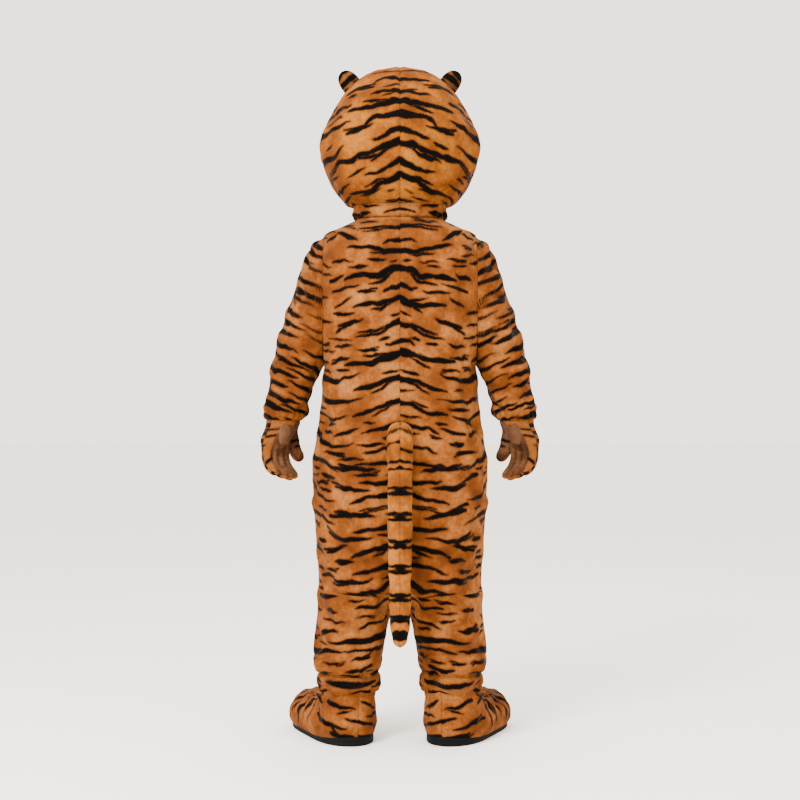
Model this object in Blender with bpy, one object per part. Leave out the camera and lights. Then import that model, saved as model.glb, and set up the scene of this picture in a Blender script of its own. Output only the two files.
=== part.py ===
"""Tiger mascot costume, worn and hollow: suit, head, gloves, boots and tail as sewn cloth walls.

Heights in the tables are above the floor. The costume faces -Y and its left side is +X. An empty
lowers everything so that the origin lies between the wearer's shoulders, which carry the suit.
"""
import math
from collections import namedtuple

import bmesh
import bpy
from mathutils import Vector

for item in list(bpy.data.objects):
    bpy.data.objects.remove(item, do_unlink=True)

# Driving dimensions, in metres
SHOULDER_HEIGHT = 1.425        # the wearer's shoulders above the floor: the origin
PLUSH = 0.003                  # plush cloth with its backing
HEAD_WALL = 0.008              # plush over a foam shell
SEAM = 0.0003                  # space between sewn pieces
HALF_SEAM = SEAM / 2

QUARTER = 7                    # spans of a quarter of the torso, or of half a leg
TORSO_POWER = 2.4              # 2 is an ellipse, more is squarer
LEG_SIDES = 2 * QUARTER

ARMHOLE_X = 0.214
ARMHOLE_TOP = 1.4225
ARMHOLE_BOTTOM = 1.050
ARMHOLE_DEPTH = 0.110          # half of its front-to-back size
SLEEVE_SIDES = 18
WRIST_X = 0.3295               # middle of the cuff and of the glove's wrist
WRIST_RADIUS = 0.0482

SEAT_HEIGHT = 0.530            # the torso starts to fork here
CROTCH_HEIGHT = 0.418
LEG_X = 0.14425                # middle of the leg's hem and of the boot's shaft
SHAFT_HALF_WIDTH = 0.0794
SHAFT_HALF_DEPTH = 0.0896

COLLAR = (0.1240, 0.1120, 0.1080)          # half width, back and front of the suit's collar

TORSO = namedtuple("TorsoSection", "height half_width back front")
TORSO_SECTIONS = [
    TORSO(1.4760, *COLLAR),
    TORSO(1.4580, *COLLAR),
    TORSO(1.4500, 0.1360, 0.1240, 0.1180),
    TORSO(1.4390, 0.1610, 0.1380, 0.1300),
    TORSO(1.4300, 0.1860, 0.1480, 0.1400),
    TORSO(ARMHOLE_TOP, ARMHOLE_X, 0.1540, 0.1460),
    TORSO(1.4150, ARMHOLE_X, 0.1580, 0.1510),
    TORSO(1.3980, ARMHOLE_X, 0.1640, 0.1580),
    TORSO(1.3600, ARMHOLE_X, 0.1690, 0.1670),
    TORSO(1.3050, ARMHOLE_X, 0.1720, 0.1740),
    TORSO(1.2360, ARMHOLE_X, 0.1710, 0.1790),
    TORSO(1.1670, ARMHOLE_X, 0.1680, 0.1820),
    TORSO(1.1120, ARMHOLE_X, 0.1650, 0.1820),
    TORSO(1.0750, ARMHOLE_X, 0.1640, 0.1820),
    TORSO(1.0570, ARMHOLE_X, 0.1640, 0.1820),
    TORSO(ARMHOLE_BOTTOM, ARMHOLE_X, 0.1640, 0.1820),
    TORSO(1.0160, 0.2160, 0.1640, 0.1820),
    TORSO(0.8980, 0.2270, 0.1715, 0.1840),
    TORSO(0.8300, 0.2380, 0.1715, 0.1860),
    TORSO(0.7620, 0.2470, 0.1780, 0.1870),
    TORSO(0.6100, 0.2390, 0.1730, 0.1760),
    TORSO(SEAT_HEIGHT, 0.2345, 0.1620, 0.1640),
    TORSO(0.4800, 0.2315, 0.1530, 0.1540),
    TORSO(0.4450, 0.2300, 0.1430, 0.1440),
    TORSO(0.4260, 0.2295, 0.1380, 0.1380),
]

LEG = namedtuple("LegSection", "height outer inner depth")
LEG_SECTIONS = [                # puffed over a crease, then gathered in at the hem
    LEG(CROTCH_HEIGHT, 0.2295, 0.0000, 0.1350),
    LEG(0.3960, 0.2297, 0.0110, 0.1330),
    LEG(0.3500, 0.2335, 0.0265, 0.1280),
    LEG(0.3000, 0.2395, 0.0380, 0.1230),
    LEG(0.2400, 0.2455, 0.0470, 0.1180),
    LEG(0.2180, 0.2440, 0.0500, 0.1150),
    LEG(0.2020, 0.2385, 0.0545, 0.1090),
    LEG(0.1890, 0.2305, 0.0580, 0.1020),
    LEG(0.1750, 0.2335, 0.0530, 0.1050),
    LEG(0.1590, 0.2345, 0.0530, 0.1055),
    LEG(0.1470, 0.2315, 0.0570, 0.1000),
]
LEG_HEM_HEIGHT = 0.1380

SLEEVE = namedtuple("SleeveRing", "outer_x outer_z inner_x inner_z depth")
SLEEVE_RINGS = [                # from the armhole down to the gathered cuff
    SLEEVE(ARMHOLE_X, ARMHOLE_TOP, ARMHOLE_X, ARMHOLE_BOTTOM, ARMHOLE_DEPTH),
    SLEEVE(0.2290, 1.4085, 0.2160, 1.0470, 0.1085),
    SLEEVE(0.2450, 1.3880, 0.2180, 1.0440, 0.1060),
    SLEEVE(0.2600, 1.3560, 0.2205, 1.0400, 0.1020),
    SLEEVE(0.2950, 1.2650, 0.2275, 1.0280, 0.0910),
    SLEEVE(0.3180, 1.2020, 0.2320, 1.0180, 0.0850),
    SLEEVE(0.3390, 1.1380, 0.2380, 1.0060, 0.0800),
    SLEEVE(0.3690, 1.0130, 0.2510, 0.9710, 0.0730),
    SLEEVE(0.3770, 0.9760, 0.2565, 0.9560, 0.0710),
    SLEEVE(0.3800, 0.9530, 0.2585, 0.9440, 0.0675),
    SLEEVE(0.3885, 0.9320, 0.2590, 0.9280, 0.0700),
    SLEEVE(0.3870, 0.9140, 0.2650, 0.9110, 0.0640),
]
CUFF_HEM_OUTER_HEIGHT = 0.9000
CUFF_HEM_INNER_HEIGHT = 0.8960

HEAD = namedtuple("HeadSection", "height half_width back front")
HEAD_SECTIONS = [
    HEAD(1.8900, 0.0000, 0.0000, 0.0000),
    HEAD(1.8870, 0.0400, 0.0380, 0.0420),
    HEAD(1.8780, 0.0740, 0.0710, 0.0770),
    HEAD(1.8440, 0.1280, 0.1240, 0.1330),
    HEAD(1.8150, 0.1570, 0.1530, 0.1620),
    HEAD(1.7800, 0.1800, 0.1770, 0.1860),
    HEAD(1.7400, 0.2005, 0.1970, 0.2070),
    HEAD(1.6950, 0.2180, 0.2130, 0.2200),
    HEAD(1.6550, 0.2240, 0.2180, 0.2240),
    HEAD(1.6150, 0.2175, 0.2140, 0.2200),
    HEAD(1.5800, 0.2050, 0.2030, 0.2110),
    HEAD(1.5500, 0.1890, 0.1860, 0.1970),
    HEAD(1.5250, 0.1680, 0.1660, 0.1770),
    HEAD(1.5070, 0.1500, 0.1460, 0.1550),
    HEAD(1.4960, 0.1320, 0.1250, 0.1290),
]
HEAD_POWER = 2.1

NECK = namedtuple("NeckSection", "height swell")
NECK_SECTIONS = [               # swell: how far its outside stands off the collar
    NECK(1.4957, 0.0080),
    NECK(1.4860, 0.0048),
    NECK(1.4730, 0.0085),
    NECK(1.4590, PLUSH + SEAM),
]

EAR_X, EAR_Y = 0.1310, -0.0250
EAR_TILT = math.radians(38)
EAR_HALF_WIDTH, EAR_RISE, EAR_CUP = 0.0290, 0.0560, 0.0100
EAR_SPANS = 6
EAR_GAP = 0.0009                # between its two cupped sheets

MUZZLE = {"height": 1.585, "half_width": 0.088, "half_height": 0.058, "rise": 0.062}
NOSE = {"height": 1.612, "half_width": 0.030, "half_height": 0.020, "rise": 0.016}
EYE = {"height": 1.690, "x": 0.082, "half_width": 0.031, "half_height": 0.040, "rise": 0.010}

TAIL = namedtuple("TailStation", "y z half_width half_depth lean")
TAIL_STATIONS = [               # lean: 0 points out of the back, 90 straight down
    TAIL(0.1718, 0.8640, 0.0330, 0.0300, 0),
    TAIL(0.1850, 0.8640, 0.0345, 0.0310, 5),
    TAIL(0.2040, 0.8570, 0.0358, 0.0315, 38),
    TAIL(0.2150, 0.8400, 0.0364, 0.0310, 68),
    TAIL(0.2190, 0.8150, 0.0358, 0.0305, 84),
    TAIL(0.2200, 0.7800, 0.0340, 0.0300, 89),
    TAIL(0.2195, 0.7100, 0.0330, 0.0295, 90),
    TAIL(0.2185, 0.6400, 0.0326, 0.0290, 91),
    TAIL(0.2175, 0.5700, 0.0322, 0.0285, 91),
    TAIL(0.2165, 0.5000, 0.0310, 0.0275, 91),
    TAIL(0.2160, 0.4350, 0.0293, 0.0262, 90),
    TAIL(0.2160, 0.3800, 0.0276, 0.0250, 90),
    TAIL(0.2160, 0.3400, 0.0254, 0.0232, 90),
    TAIL(0.2160, 0.3120, 0.0205, 0.0190, 90),
    TAIL(0.2160, 0.2960, 0.0130, 0.0120, 90),
    TAIL(0.2160, 0.2885, 0.0045, 0.0045, 90),
]
TAIL_SPANS = 6

BOOT_HEEL = (0.1475, 0.0300)    # centre of the heel's round end
BOOT_TURN = math.radians(22.5)  # toes point outwards
BOOT_SIDES = 24
BOOT = namedtuple("BootSection", "height heel toe reach shaft")
BOOT_SECTIONS = [               # radii of heel and toe, distance between them, share of the shaft
    BOOT(0.0000, 0.0820, 0.0870, 0.2350, 0.00),
    BOOT(0.0220, 0.0870, 0.0945, 0.2400, 0.00),
    BOOT(0.0450, 0.0880, 0.0950, 0.2390, 0.00),
    BOOT(0.0700, 0.0875, 0.0880, 0.2320, 0.00),
    BOOT(0.0900, 0.0865, 0.0705, 0.2200, 0.00),
    BOOT(0.1060, 0.0850, 0.0520, 0.2000, 0.00),
    BOOT(0.1180, 0.0825, 0.0450, 0.1660, 0.20),
    BOOT(0.1280, 0.0790, 0.0450, 0.1320, 0.65),
    BOOT(0.1370, 0.0740, 0.0480, 0.1100, 1.00),
    BOOT(0.1480, 0.0740, 0.0480, 0.1100, 1.00),
    BOOT(0.1700, 0.0740, 0.0480, 0.1100, 1.00),
    BOOT(0.2300, 0.0740, 0.0480, 0.1100, 1.00),
]
BOOT_EDGE_TOP = 0.1060          # the sole's raised edge shifts the sections below this
SHAFT_SLIM_HEIGHT, SHAFT_SLIM = 0.1600, 0.965         # the shaft narrows inside the leg
BOOT_SQUARE = 0.30              # below 1 fills the toe's and the heel's corners
RAND_TOE, RAND_HEEL = 0.0065, 0.0250
SOLE_FLOOR, SOLE_LIP, SOLE_BEVEL = 0.0045, 0.0040, 0.0030

PALM_TURN = math.radians(40)    # the palm faces the body and, by this much, backwards
KNUCKLE_HEIGHT = 0.803
FINGER_SPANS = 4                # spans across half of a finger
STRIP = namedtuple("Strip", "wrist_low wrist_high low high half_height web length curl splay")
STRIPS = [                      # the glove's cut across the hand: little finger first, thumb last
    STRIP(-0.0482, -0.0318, -0.0800, -0.0556, 0.0145, 0.0, 0.078, 92, 0),
    STRIP(-0.0318, -0.0153, -0.0556, -0.0312, 0.0150, 0.0, 0.090, 88, 0),
    STRIP(-0.0153, 0.0012, -0.0312, -0.0068, 0.0155, 0.0, 0.096, 84, 0),
    STRIP(0.0012, 0.0177, -0.0068, 0.0176, 0.0150, 0.0, 0.088, 78, 0),
    STRIP(0.0177, 0.0482, 0.0176, 0.0596, 0.0190, -0.030, 0.056, 48, 14),
]
FINGER_GAP = 0.0005             # each finger's side lies this far inside its strip
HAND = namedtuple("HandRow", "along half_height")
HAND_ROWS = [                   # along is measured down from the knuckles
    HAND(-0.123, WRIST_RADIUS),
    HAND(-0.088, WRIST_RADIUS),
    HAND(-0.062, 0.0440),
    HAND(-0.045, 0.0390),
    HAND(-0.030, 0.0350),
    HAND(-0.014, 0.0310),
    HAND(0.0, 0.0270),
]
HAND_SPREAD = -0.088            # the cut starts to widen here
FINGER = namedtuple("FingerRow", "share slim")
FINGER_ROWS = [                 # a share of the finger's length, and the finger's size there
    FINGER(0.34, 1.0),
    FINGER(0.68, 0.96),
    FINGER(0.92, 0.66),
    FINGER(1.0, 0.14),
]
PAD = namedtuple("PadRow", "along half_width")
PAD_ROWS = [                    # a drop, narrow at the wrist
    PAD(-0.0860, 0.0020),
    PAD(-0.0740, 0.0120),
    PAD(-0.0620, 0.0175),
    PAD(-0.0450, 0.0205),
    PAD(-0.0300, 0.0180),
    PAD(-0.0270, 0.0140),
]
PAD_ACROSS = -0.0300
PAD_THICKNESS = 0.0030
PAD_SPANS, PAD_GAP = 6, 0.0019

MATERIALS = {                   # colour, roughness
    "plush": ((0.62, 0.25, 0.07), 0.95),
    "palm": ((0.24, 0.10, 0.05), 0.90),
    "cream": ((0.80, 0.72, 0.60), 0.95),
    "nose": ((0.02, 0.02, 0.02), 0.40),
    "eye": ((0.02, 0.02, 0.02), 0.15),
    "sole": ((0.02, 0.022, 0.025), 0.60),
}


def material(name):
    """The named finish, made once."""
    if name in bpy.data.materials:
        return bpy.data.materials[name]
    colour, roughness = MATERIALS[name]
    finish = bpy.data.materials.new(name)
    finish.use_nodes = True
    shader = finish.node_tree.nodes["Principled BSDF"]
    shader.inputs["Base Color"].default_value = (*colour, 1)
    shader.inputs["Roughness"].default_value = roughness
    shader.inputs["Metallic"].default_value = 0
    return finish


costume = bpy.data.objects.new("costume", None)
costume.location = (0, 0, -SHOULDER_HEIGHT)
bpy.context.collection.objects.link(costume)


def add_object(name, mesh, finish):
    """A closed mesh as a named, smooth-shaded piece of the costume."""
    mesh.validate()
    shape = bmesh.new()
    shape.from_mesh(mesh)
    bmesh.ops.recalc_face_normals(shape, faces=shape.faces)
    shape.to_mesh(mesh)
    shape.free()
    mesh.shade_smooth()
    mesh.set_sharp_from_angle(angle=math.radians(50))
    mesh.materials.append(material(finish))
    piece = bpy.data.objects.new(name, mesh)
    piece.parent = costume
    bpy.context.collection.objects.link(piece)
    return piece


def make_mesh(name, points, faces):
    mesh = bpy.data.meshes.new(name)
    mesh.from_pydata([tuple(point) for point in points], [], faces)
    return mesh


def thicken(name, outer, inner, faces, finish):
    """A cloth wall from a sheet of faces and its inner points; free edges get a rim.

    Points of the sheet that coincide become one.
    """
    numbers, kept = {}, []
    points, inside = [], []
    for point, inner_point in zip(outer, inner):
        key = tuple(round(value, 6) for value in point)
        if key not in numbers:
            numbers[key] = len(points)
            points.append(point)
            inside.append(inner_point)
        kept.append(numbers[key])
    sheet = []
    for face in faces:
        corners = [kept[k] for k in face]
        corners = [k for k, before in zip(corners, corners[-1:] + corners[:-1]) if k != before]
        if len(corners) > 2:
            sheet.append(corners)
    edges = {(a, b) for face in sheet for a, b in zip(face, face[1:] + face[:1])}
    count = len(points)
    solid = sheet + [[count + k for k in reversed(face)] for face in sheet]
    solid += [(b, a, count + a, count + b) for a, b in sorted(edges) if (b, a) not in edges]
    return add_object(name, make_mesh(name, points + inside, solid), finish)


def grid_faces(rows, columns, closed=False, start=0):
    faces = []
    for row in range(rows - 1):
        for column in range(columns if closed else columns - 1):
            a = start + row * columns + column
            b = start + row * columns + (column + 1) % columns
            faces.append((a, b, b + columns, a + columns))
    return faces


def wall(name, outer, inner, finish, closed=False, capped=False):
    """A cloth wall between two grids of points; closed joins its last column to its first."""
    faces = grid_faces(len(outer), len(outer[0]), closed)
    if capped:
        faces.append(tuple(reversed(range(len(outer[0])))))
    flat_outer, flat_inner = ([point for row in grid for point in row] for grid in (outer, inner))
    return thicken(name, flat_outer, flat_inner, faces, finish)


def solid_loft(name, loops, finish):
    """A filled body through closed loops, with a flat face at each end."""
    count = len(loops[0])
    points = [point for loop in loops for point in loop]
    faces = [tuple(range(count)), tuple(len(points) - count + k for k in reversed(range(count)))]
    for start in range(0, len(points) - count, count):
        for k in range(count):
            following = (k + 1) % count
            faces.append((start + k, start + following, start + count + following, start + count + k))
    return add_object(name, make_mesh(name, points, faces), finish)


def grid_normals(grid, closed=False):
    """Unit normals of a grid of points, from the steps to their neighbours."""
    rows, columns = len(grid), len(grid[0])
    normals = []
    for row in range(rows):
        line = []
        for column in range(columns):
            if closed:
                along = grid[row][(column + 1) % columns] - grid[row][column - 1]
            else:
                along = grid[row][min(column + 1, columns - 1)] - grid[row][max(column - 1, 0)]
            down = grid[min(row + 1, rows - 1)][column] - grid[max(row - 1, 0)][column]
            line.append(down.cross(along).normalized())
        normals.append(line)
    return normals


def flattened(normal, axes):
    """The normal turned into the plane of a seam, whose own axes are dropped."""
    kept = [0 if axis in axes else value for axis, value in enumerate(normal)]
    return Vector(kept).normalized()


def mirrored(point, side):
    return Vector((point[0] * side, point[1], point[2]))


def mirror_grid(grid, side):
    return [[mirrored(point, side) for point in row] for row in grid]


def rounded_quarter(share, width, depth, power, end=math.pi / 2):
    """A point of a rounded quarter section, from its middle (0) to its side (1)."""
    angle = share * end
    return width * math.sin(angle) ** (2 / power), depth * max(math.cos(angle), 0) ** (2 / power)


def blend(low, high, share):
    return low + (high - low) * share


def smooth_step(value, low, high):
    share = min(max((value - low) / (high - low), 0), 1)
    return share * share * (3 - 2 * share)


# Suit: two backs, two fronts, two sleeves

def armhole_depth(height):
    """Half of the armhole's front-to-back size at a height."""
    middle = (ARMHOLE_TOP + ARMHOLE_BOTTOM) / 2
    half = (ARMHOLE_TOP - ARMHOLE_BOTTOM) / 2
    return ARMHOLE_DEPTH * math.sqrt(max(1 - ((height - middle) / half) ** 2, 0))


def has_armhole(section):
    return ARMHOLE_BOTTOM < section.height < ARMHOLE_TOP


def torso_line(section, facing):
    """Points from the centre seam to the side seam or the armhole's edge."""
    depth = section.back if facing > 0 else section.front
    width, end = section.half_width, math.pi / 2
    if has_armhole(section):
        rest = 1 - (armhole_depth(section.height) / depth) ** TORSO_POWER
        width = ARMHOLE_X / rest ** (1 / TORSO_POWER)
        end = math.asin(math.sqrt(rest))
    line = []
    for k in range(QUARTER + 1):
        x, y = rounded_quarter(k / QUARTER, width, depth, TORSO_POWER, end)
        line.append(Vector((x, y * facing, section.height)))
    return line


def leg_line(section, facing):
    """Points round half a leg, from the inseam to the side seam."""
    middle, half = (section.outer + section.inner) / 2, (section.outer - section.inner) / 2
    line = []
    for k in range(QUARTER + 1):
        angle = math.pi * k / QUARTER
        y = section.depth * math.sin(angle) * facing
        line.append(Vector((middle - half * math.cos(angle), y, section.height)))
    return line


def fork_line(section, facing):
    """A section between the torso's and the leg's, the centre seam curving under to the crotch."""
    share = (section.height - CROTCH_HEIGHT) / (SEAT_HEIGHT - CROTCH_HEIGHT)
    depth = section.back if facing > 0 else section.front
    power = blend(2, TORSO_POWER, share)
    middle = section.half_width / 2 * (1 - share)
    half = section.half_width - middle
    start = math.acos((middle / half) ** (power / 2))
    line = []
    for k in range(QUARTER + 1):
        angle = blend(start, math.pi, k / QUARTER)
        reach = math.copysign(abs(math.cos(angle)) ** (2 / power), math.cos(angle))
        y = depth * max(math.sin(angle), 0) ** (2 / power) * facing
        line.append(Vector((middle - half * reach, y, section.height)))
    return line


def leg_hem():
    """The gathered hem, snug round the boot's shaft."""
    snug = math.cos(math.pi / LEG_SIDES)
    half_width = (SHAFT_HALF_WIDTH + SEAM) / snug + PLUSH
    half_depth = (SHAFT_HALF_DEPTH + SEAM) / snug + PLUSH
    return LEG(LEG_HEM_HEIGHT, LEG_X + half_width, LEG_X - half_width, half_depth)


def suit_panel(name, facing, side):
    """A back (facing 1) or front (facing -1) from the collar to the leg's hem, in one piece."""
    legs = LEG_SECTIONS + [leg_hem()]
    outer = []
    for section in TORSO_SECTIONS:
        forks = section.height < SEAT_HEIGHT
        outer.append(fork_line(section, facing) if forks else torso_line(section, facing))
    outer += [leg_line(section, facing) for section in legs]
    sign = 1 if facing > 0 else -1
    normals = grid_normals(outer)
    if outer[0][0].dot(normals[0][0]) < 0:
        normals = [[-normal for normal in line] for line in normals]
    inner = []
    for row, line in enumerate(outer):
        crotch = row == len(TORSO_SECTIONS)
        above = row < len(TORSO_SECTIONS)
        edge_rows = row in (0, len(outer) - 1)
        inner_line = []
        for column, point in enumerate(line):
            normal = normals[row][column]
            axes = {2} if edge_rows else set()
            if column == 0:
                axes |= {0} if above else {1}
            if column == QUARTER and not (above and has_armhole(TORSO_SECTIONS[row])):
                axes |= {1}
            normal = flattened(normal, axes)
            if crotch and column == 0:
                normal = Vector((0, 0, -1))
            inner_line.append(point - normal * PLUSH)
        inner.append(inner_line)
        for grid_line in (line, inner_line):
            if above or crotch:
                grid_line[0].x += HALF_SEAM
            if not above:
                grid_line[0].y += HALF_SEAM * sign
            height = line[QUARTER].z
            if ARMHOLE_BOTTOM <= height <= ARMHOLE_TOP:
                grid_line[QUARTER].x -= HALF_SEAM
            if not (above and has_armhole(TORSO_SECTIONS[row])):
                grid_line[QUARTER].y += HALF_SEAM * sign
    return wall(name, mirror_grid(outer, side), mirror_grid(inner, side), "plush")


def sleeve(name, side):
    """A set-in sleeve: rings that turn from the armhole to a cuff gathered on the glove."""
    hem_radius = (WRIST_RADIUS + SEAM) / math.cos(math.pi / SLEEVE_SIDES) + PLUSH
    hem = SLEEVE(WRIST_X + hem_radius, CUFF_HEM_OUTER_HEIGHT, WRIST_X - hem_radius,
                 CUFF_HEM_INNER_HEIGHT, hem_radius)
    outer = []
    for ring in SLEEVE_RINGS + [hem]:
        high = Vector((ring.outer_x, 0, ring.outer_z))
        low = Vector((ring.inner_x, 0, ring.inner_z))
        middle, reach = (high + low) / 2, (high - low) / 2
        line = []
        for k in range(SLEEVE_SIDES):
            angle = 2 * math.pi * k / SLEEVE_SIDES
            line.append(middle + reach * math.cos(angle) + Vector((0, ring.depth * math.sin(angle), 0)))
        outer.append(line)
    normals = grid_normals(outer, closed=True)
    if normals[0][0].z < 0:
        normals = [[-normal for normal in line] for line in normals]
    inner = []
    for row, line in enumerate(outer):
        axes = {0} if row == 0 else {2} if row == len(outer) - 1 else set()
        inner.append([point - flattened(normals[row][k], axes) * PLUSH for k, point in enumerate(line)])
    for point in outer[0] + inner[0]:
        point.x += HALF_SEAM
    return wall(name, mirror_grid(outer, side), mirror_grid(inner, side), "plush", closed=True)


# Head: two backs, a face, the neck piece under it, ears, muzzle, nose and eyes

def head_line(section, facing):
    depth = section.back if facing > 0 else section.front
    line = []
    for k in range(QUARTER + 1):
        x, y = rounded_quarter(k / QUARTER, section.half_width, depth, HEAD_POWER)
        line.append(Vector((x, y * facing, section.height)))
    return line


def head_quarter(facing):
    """Outer and inner points of a quarter of the head, from its centre line to the side seam."""
    outer = [head_line(section, facing) for section in HEAD_SECTIONS]
    normals = grid_normals(outer)
    if normals[len(outer) // 2][0].y * facing < 0:
        normals = [[-normal for normal in line] for line in normals]
    inner = []
    for row, line in enumerate(outer):
        inner_line = []
        for column, point in enumerate(line):
            axes = {2} if row == len(outer) - 1 else set()
            axes |= {0} if column == 0 else {1} if column == QUARTER else set()
            normal = Vector((0, 0, 1)) if row == 0 else flattened(normals[row][column], axes)
            inner_line.append(point - normal * HEAD_WALL)
        inner.append(inner_line)
    for line in outer + inner:
        line[QUARTER].y += HALF_SEAM * facing
    for point in outer[0][:-1] + inner[0][:-1]:
        point.y += HALF_SEAM * facing
    return outer, inner


def head_back(name, side):
    outer, inner = head_quarter(1)
    for line in outer + inner:
        line[0].x += HALF_SEAM
    for point in outer[0][1:] + inner[0][1:]:
        point.x += HALF_SEAM
    return wall(name, mirror_grid(outer, side), mirror_grid(inner, side), "plush")


def face(name):
    """The whole front of the head, from ear to ear."""
    outer, inner = [
        [[mirrored(point, -1) for point in reversed(line[1:])] + line for line in grid]
        for grid in head_quarter(-1)
    ]
    return wall(name, outer, inner, "plush")


def neck_piece(name):
    """The head's own neck, which is gathered over the suit's collar."""
    outer, inner = [], []
    for section in NECK_SECTIONS:
        for grid, offset in ((outer, section.swell), (inner, section.swell - PLUSH)):
            ring = []
            for quarter in range(4):
                facing, side = (1, 1, -1, -1)[quarter], (1, -1, -1, 1)[quarter]
                depth = (COLLAR[1] if facing > 0 else COLLAR[2]) + offset
                for k in range(QUARTER):
                    share = (k if quarter % 2 else QUARTER - k) / QUARTER
                    x, y = rounded_quarter(share, COLLAR[0] + offset, depth, TORSO_POWER)
                    ring.append(Vector((x * side, y * facing, section.height)))
            grid.append(ring)
    return wall(name, outer, inner, "plush", closed=True)


def head_front_depth(x, height, facing=-1):
    """How far the head's surface lies from the middle plane."""
    below = next(k for k, section in enumerate(HEAD_SECTIONS) if section.height <= height)
    high, low = HEAD_SECTIONS[below - 1], HEAD_SECTIONS[below]
    share = (high.height - height) / (high.height - low.height)
    width = blend(high.half_width, low.half_width, share)
    depth = blend(high.back, low.back, share) if facing > 0 else blend(high.front, low.front, share)
    return depth * max(1 - abs(x / width) ** HEAD_POWER, 0) ** (1 / HEAD_POWER)


def head_top(x, y):
    """Height of the head's surface over a point near its crown."""
    low, high = 1.66, HEAD_SECTIONS[0].height
    for _ in range(40):
        middle = (low + high) / 2
        if head_front_depth(x, middle) > abs(y):
            low = middle
        else:
            high = middle
    return low


DOME_RINGS, DOME_SPOKES = 3, 16


def dome(name, spec, finish, base, thickness, side=1):
    """A raised cap over an oval of the face: base gives the surface that it lies on."""
    outer, inner = [], []
    for ring in range(1, DOME_RINGS + 1):
        share = math.sin(math.pi / 2 * ring / DOME_RINGS)
        lift = spec["rise"] * math.sqrt(max(1 - share * share, 0))
        outer_line, inner_line = [], []
        for spoke in range(DOME_SPOKES):
            angle = 2 * math.pi * spoke / DOME_SPOKES
            x = spec.get("x", 0) + spec["half_width"] * share * math.cos(angle)
            z = spec["height"] + spec["half_height"] * share * math.sin(angle)
            floor = base(x, z) + 2 * SEAM
            outer_line.append(Vector((x, -floor - lift - thickness, z)))
            inner_line.append(Vector((x, -floor - lift, z)))
        outer.append(outer_line)
        inner.append(inner_line)
    return wall(name, mirror_grid(outer, side), mirror_grid(inner, side), finish, closed=True, capped=True)


def muzzle_depth(x, height):
    """The muzzle's own surface, for the nose that lies on it."""
    share = (x / MUZZLE["half_width"]) ** 2 + ((height - MUZZLE["height"]) / MUZZLE["half_height"]) ** 2
    return head_front_depth(x, height) + MUZZLE["rise"] * math.sqrt(max(1 - share, 0)) + PLUSH + SEAM


def ear(name, side, behind):
    """A cupped ear half, its foot following the head: the back, or the lighter inside in front."""
    across = Vector((math.cos(EAR_TILT), 0, -math.sin(EAR_TILT)))
    along = Vector((math.sin(EAR_TILT), 0, math.cos(EAR_TILT)))
    foot = Vector((EAR_X, EAR_Y, head_top(EAR_X, EAR_Y)))
    offset = 0 if behind else -(PLUSH + EAR_GAP)
    outer, inner = [], []
    for row in range(EAR_SPANS + 1):
        rise = row / EAR_SPANS
        width = EAR_HALF_WIDTH * math.sqrt(max(1 - (0.96 * rise) ** 3, 0))
        outer_line, inner_line = [], []
        for column in range(EAR_SPANS + 1):
            c = 2 * column / EAR_SPANS - 1
            cup = EAR_CUP * (1 - c * c) * (1 - 0.5 * rise) + offset
            lean = across * (width * c) + along * (EAR_RISE * rise)
            for grid_line, y in ((outer_line, cup), (inner_line, cup - PLUSH)):
                point = foot + lean + Vector((0, y, 0))
                for _ in range(6 if row == 0 else 0):
                    gap = head_top(point.x, point.y) + SEAM - point.z
                    point += along * (0.7 * gap)
                grid_line.append(point)
        outer.append(outer_line)
        inner.append(inner_line)
    finish = "plush" if behind else "cream"
    return wall(name, mirror_grid(outer, side), mirror_grid(inner, side), finish)


# Tail: two stuffed halves joined down the middle

def tail_half(name, side):
    loops = []
    for station in TAIL_STATIONS:
        lean = math.radians(station.lean)
        outwards = Vector((0, math.sin(lean), math.cos(lean)))
        loop = []
        for k in range(TAIL_SPANS + 1):
            angle = math.pi * (k / TAIL_SPANS - 0.5)
            x = station.half_width * math.cos(angle) + (HALF_SEAM if k in (0, TAIL_SPANS) else 0)
            centre = Vector((max(x, HALF_SEAM), station.y, station.z))
            loop.append(centre + outwards * (station.half_depth * math.sin(angle)))
        loops.append([mirrored(point, side) for point in loop])
    return solid_loft(name, loops, "plush")


# Boots: two quarters on a rubber sole, the toes turned outwards

def boot_point(section, turn, inset=0):
    """A point of a boot's outline at an angle from the toe, on its own or the shaft's shape."""
    cosine, sine = math.cos(turn), math.sin(turn)
    forward = 0.5 + 0.5 * math.copysign(abs(cosine) ** BOOT_SQUARE, cosine)
    radius = blend(section.heel, section.toe, forward) - inset
    along, across = section.reach * forward + radius * cosine, radius * sine
    toe = Vector((math.sin(BOOT_TURN), -math.cos(BOOT_TURN)))
    outwards = Vector((math.cos(BOOT_TURN), math.sin(BOOT_TURN)))
    foot = Vector(BOOT_HEEL) + toe * along + outwards * across
    scale = SHAFT_SLIM if section.height > SHAFT_SLIM_HEIGHT else 1
    angle = turn - math.pi / 2 + BOOT_TURN
    shaft = Vector((LEG_X + SHAFT_HALF_WIDTH * scale * math.cos(angle),
                    SHAFT_HALF_DEPTH * scale * math.sin(angle)))
    return foot.lerp(shaft, section.shaft)


def rand_height(turn):
    """The sole's edge, which rises towards the heel."""
    return blend(RAND_TOE, RAND_HEEL, ((1 - math.cos(turn)) / 2) ** 2)


def boot_ring(section):
    """A level ring of the upper, lifted where the sole's edge is higher."""
    ring = []
    for k in range(BOOT_SIDES):
        turn = 2 * math.pi * k / BOOT_SIDES
        edge = rand_height(turn) + SEAM
        share = max(1 - section.height / BOOT_EDGE_TOP, 0)
        height = section.height + edge * share
        place = boot_point(section, turn)
        ring.append(Vector((place.x, place.y, height)))
    return ring


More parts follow.
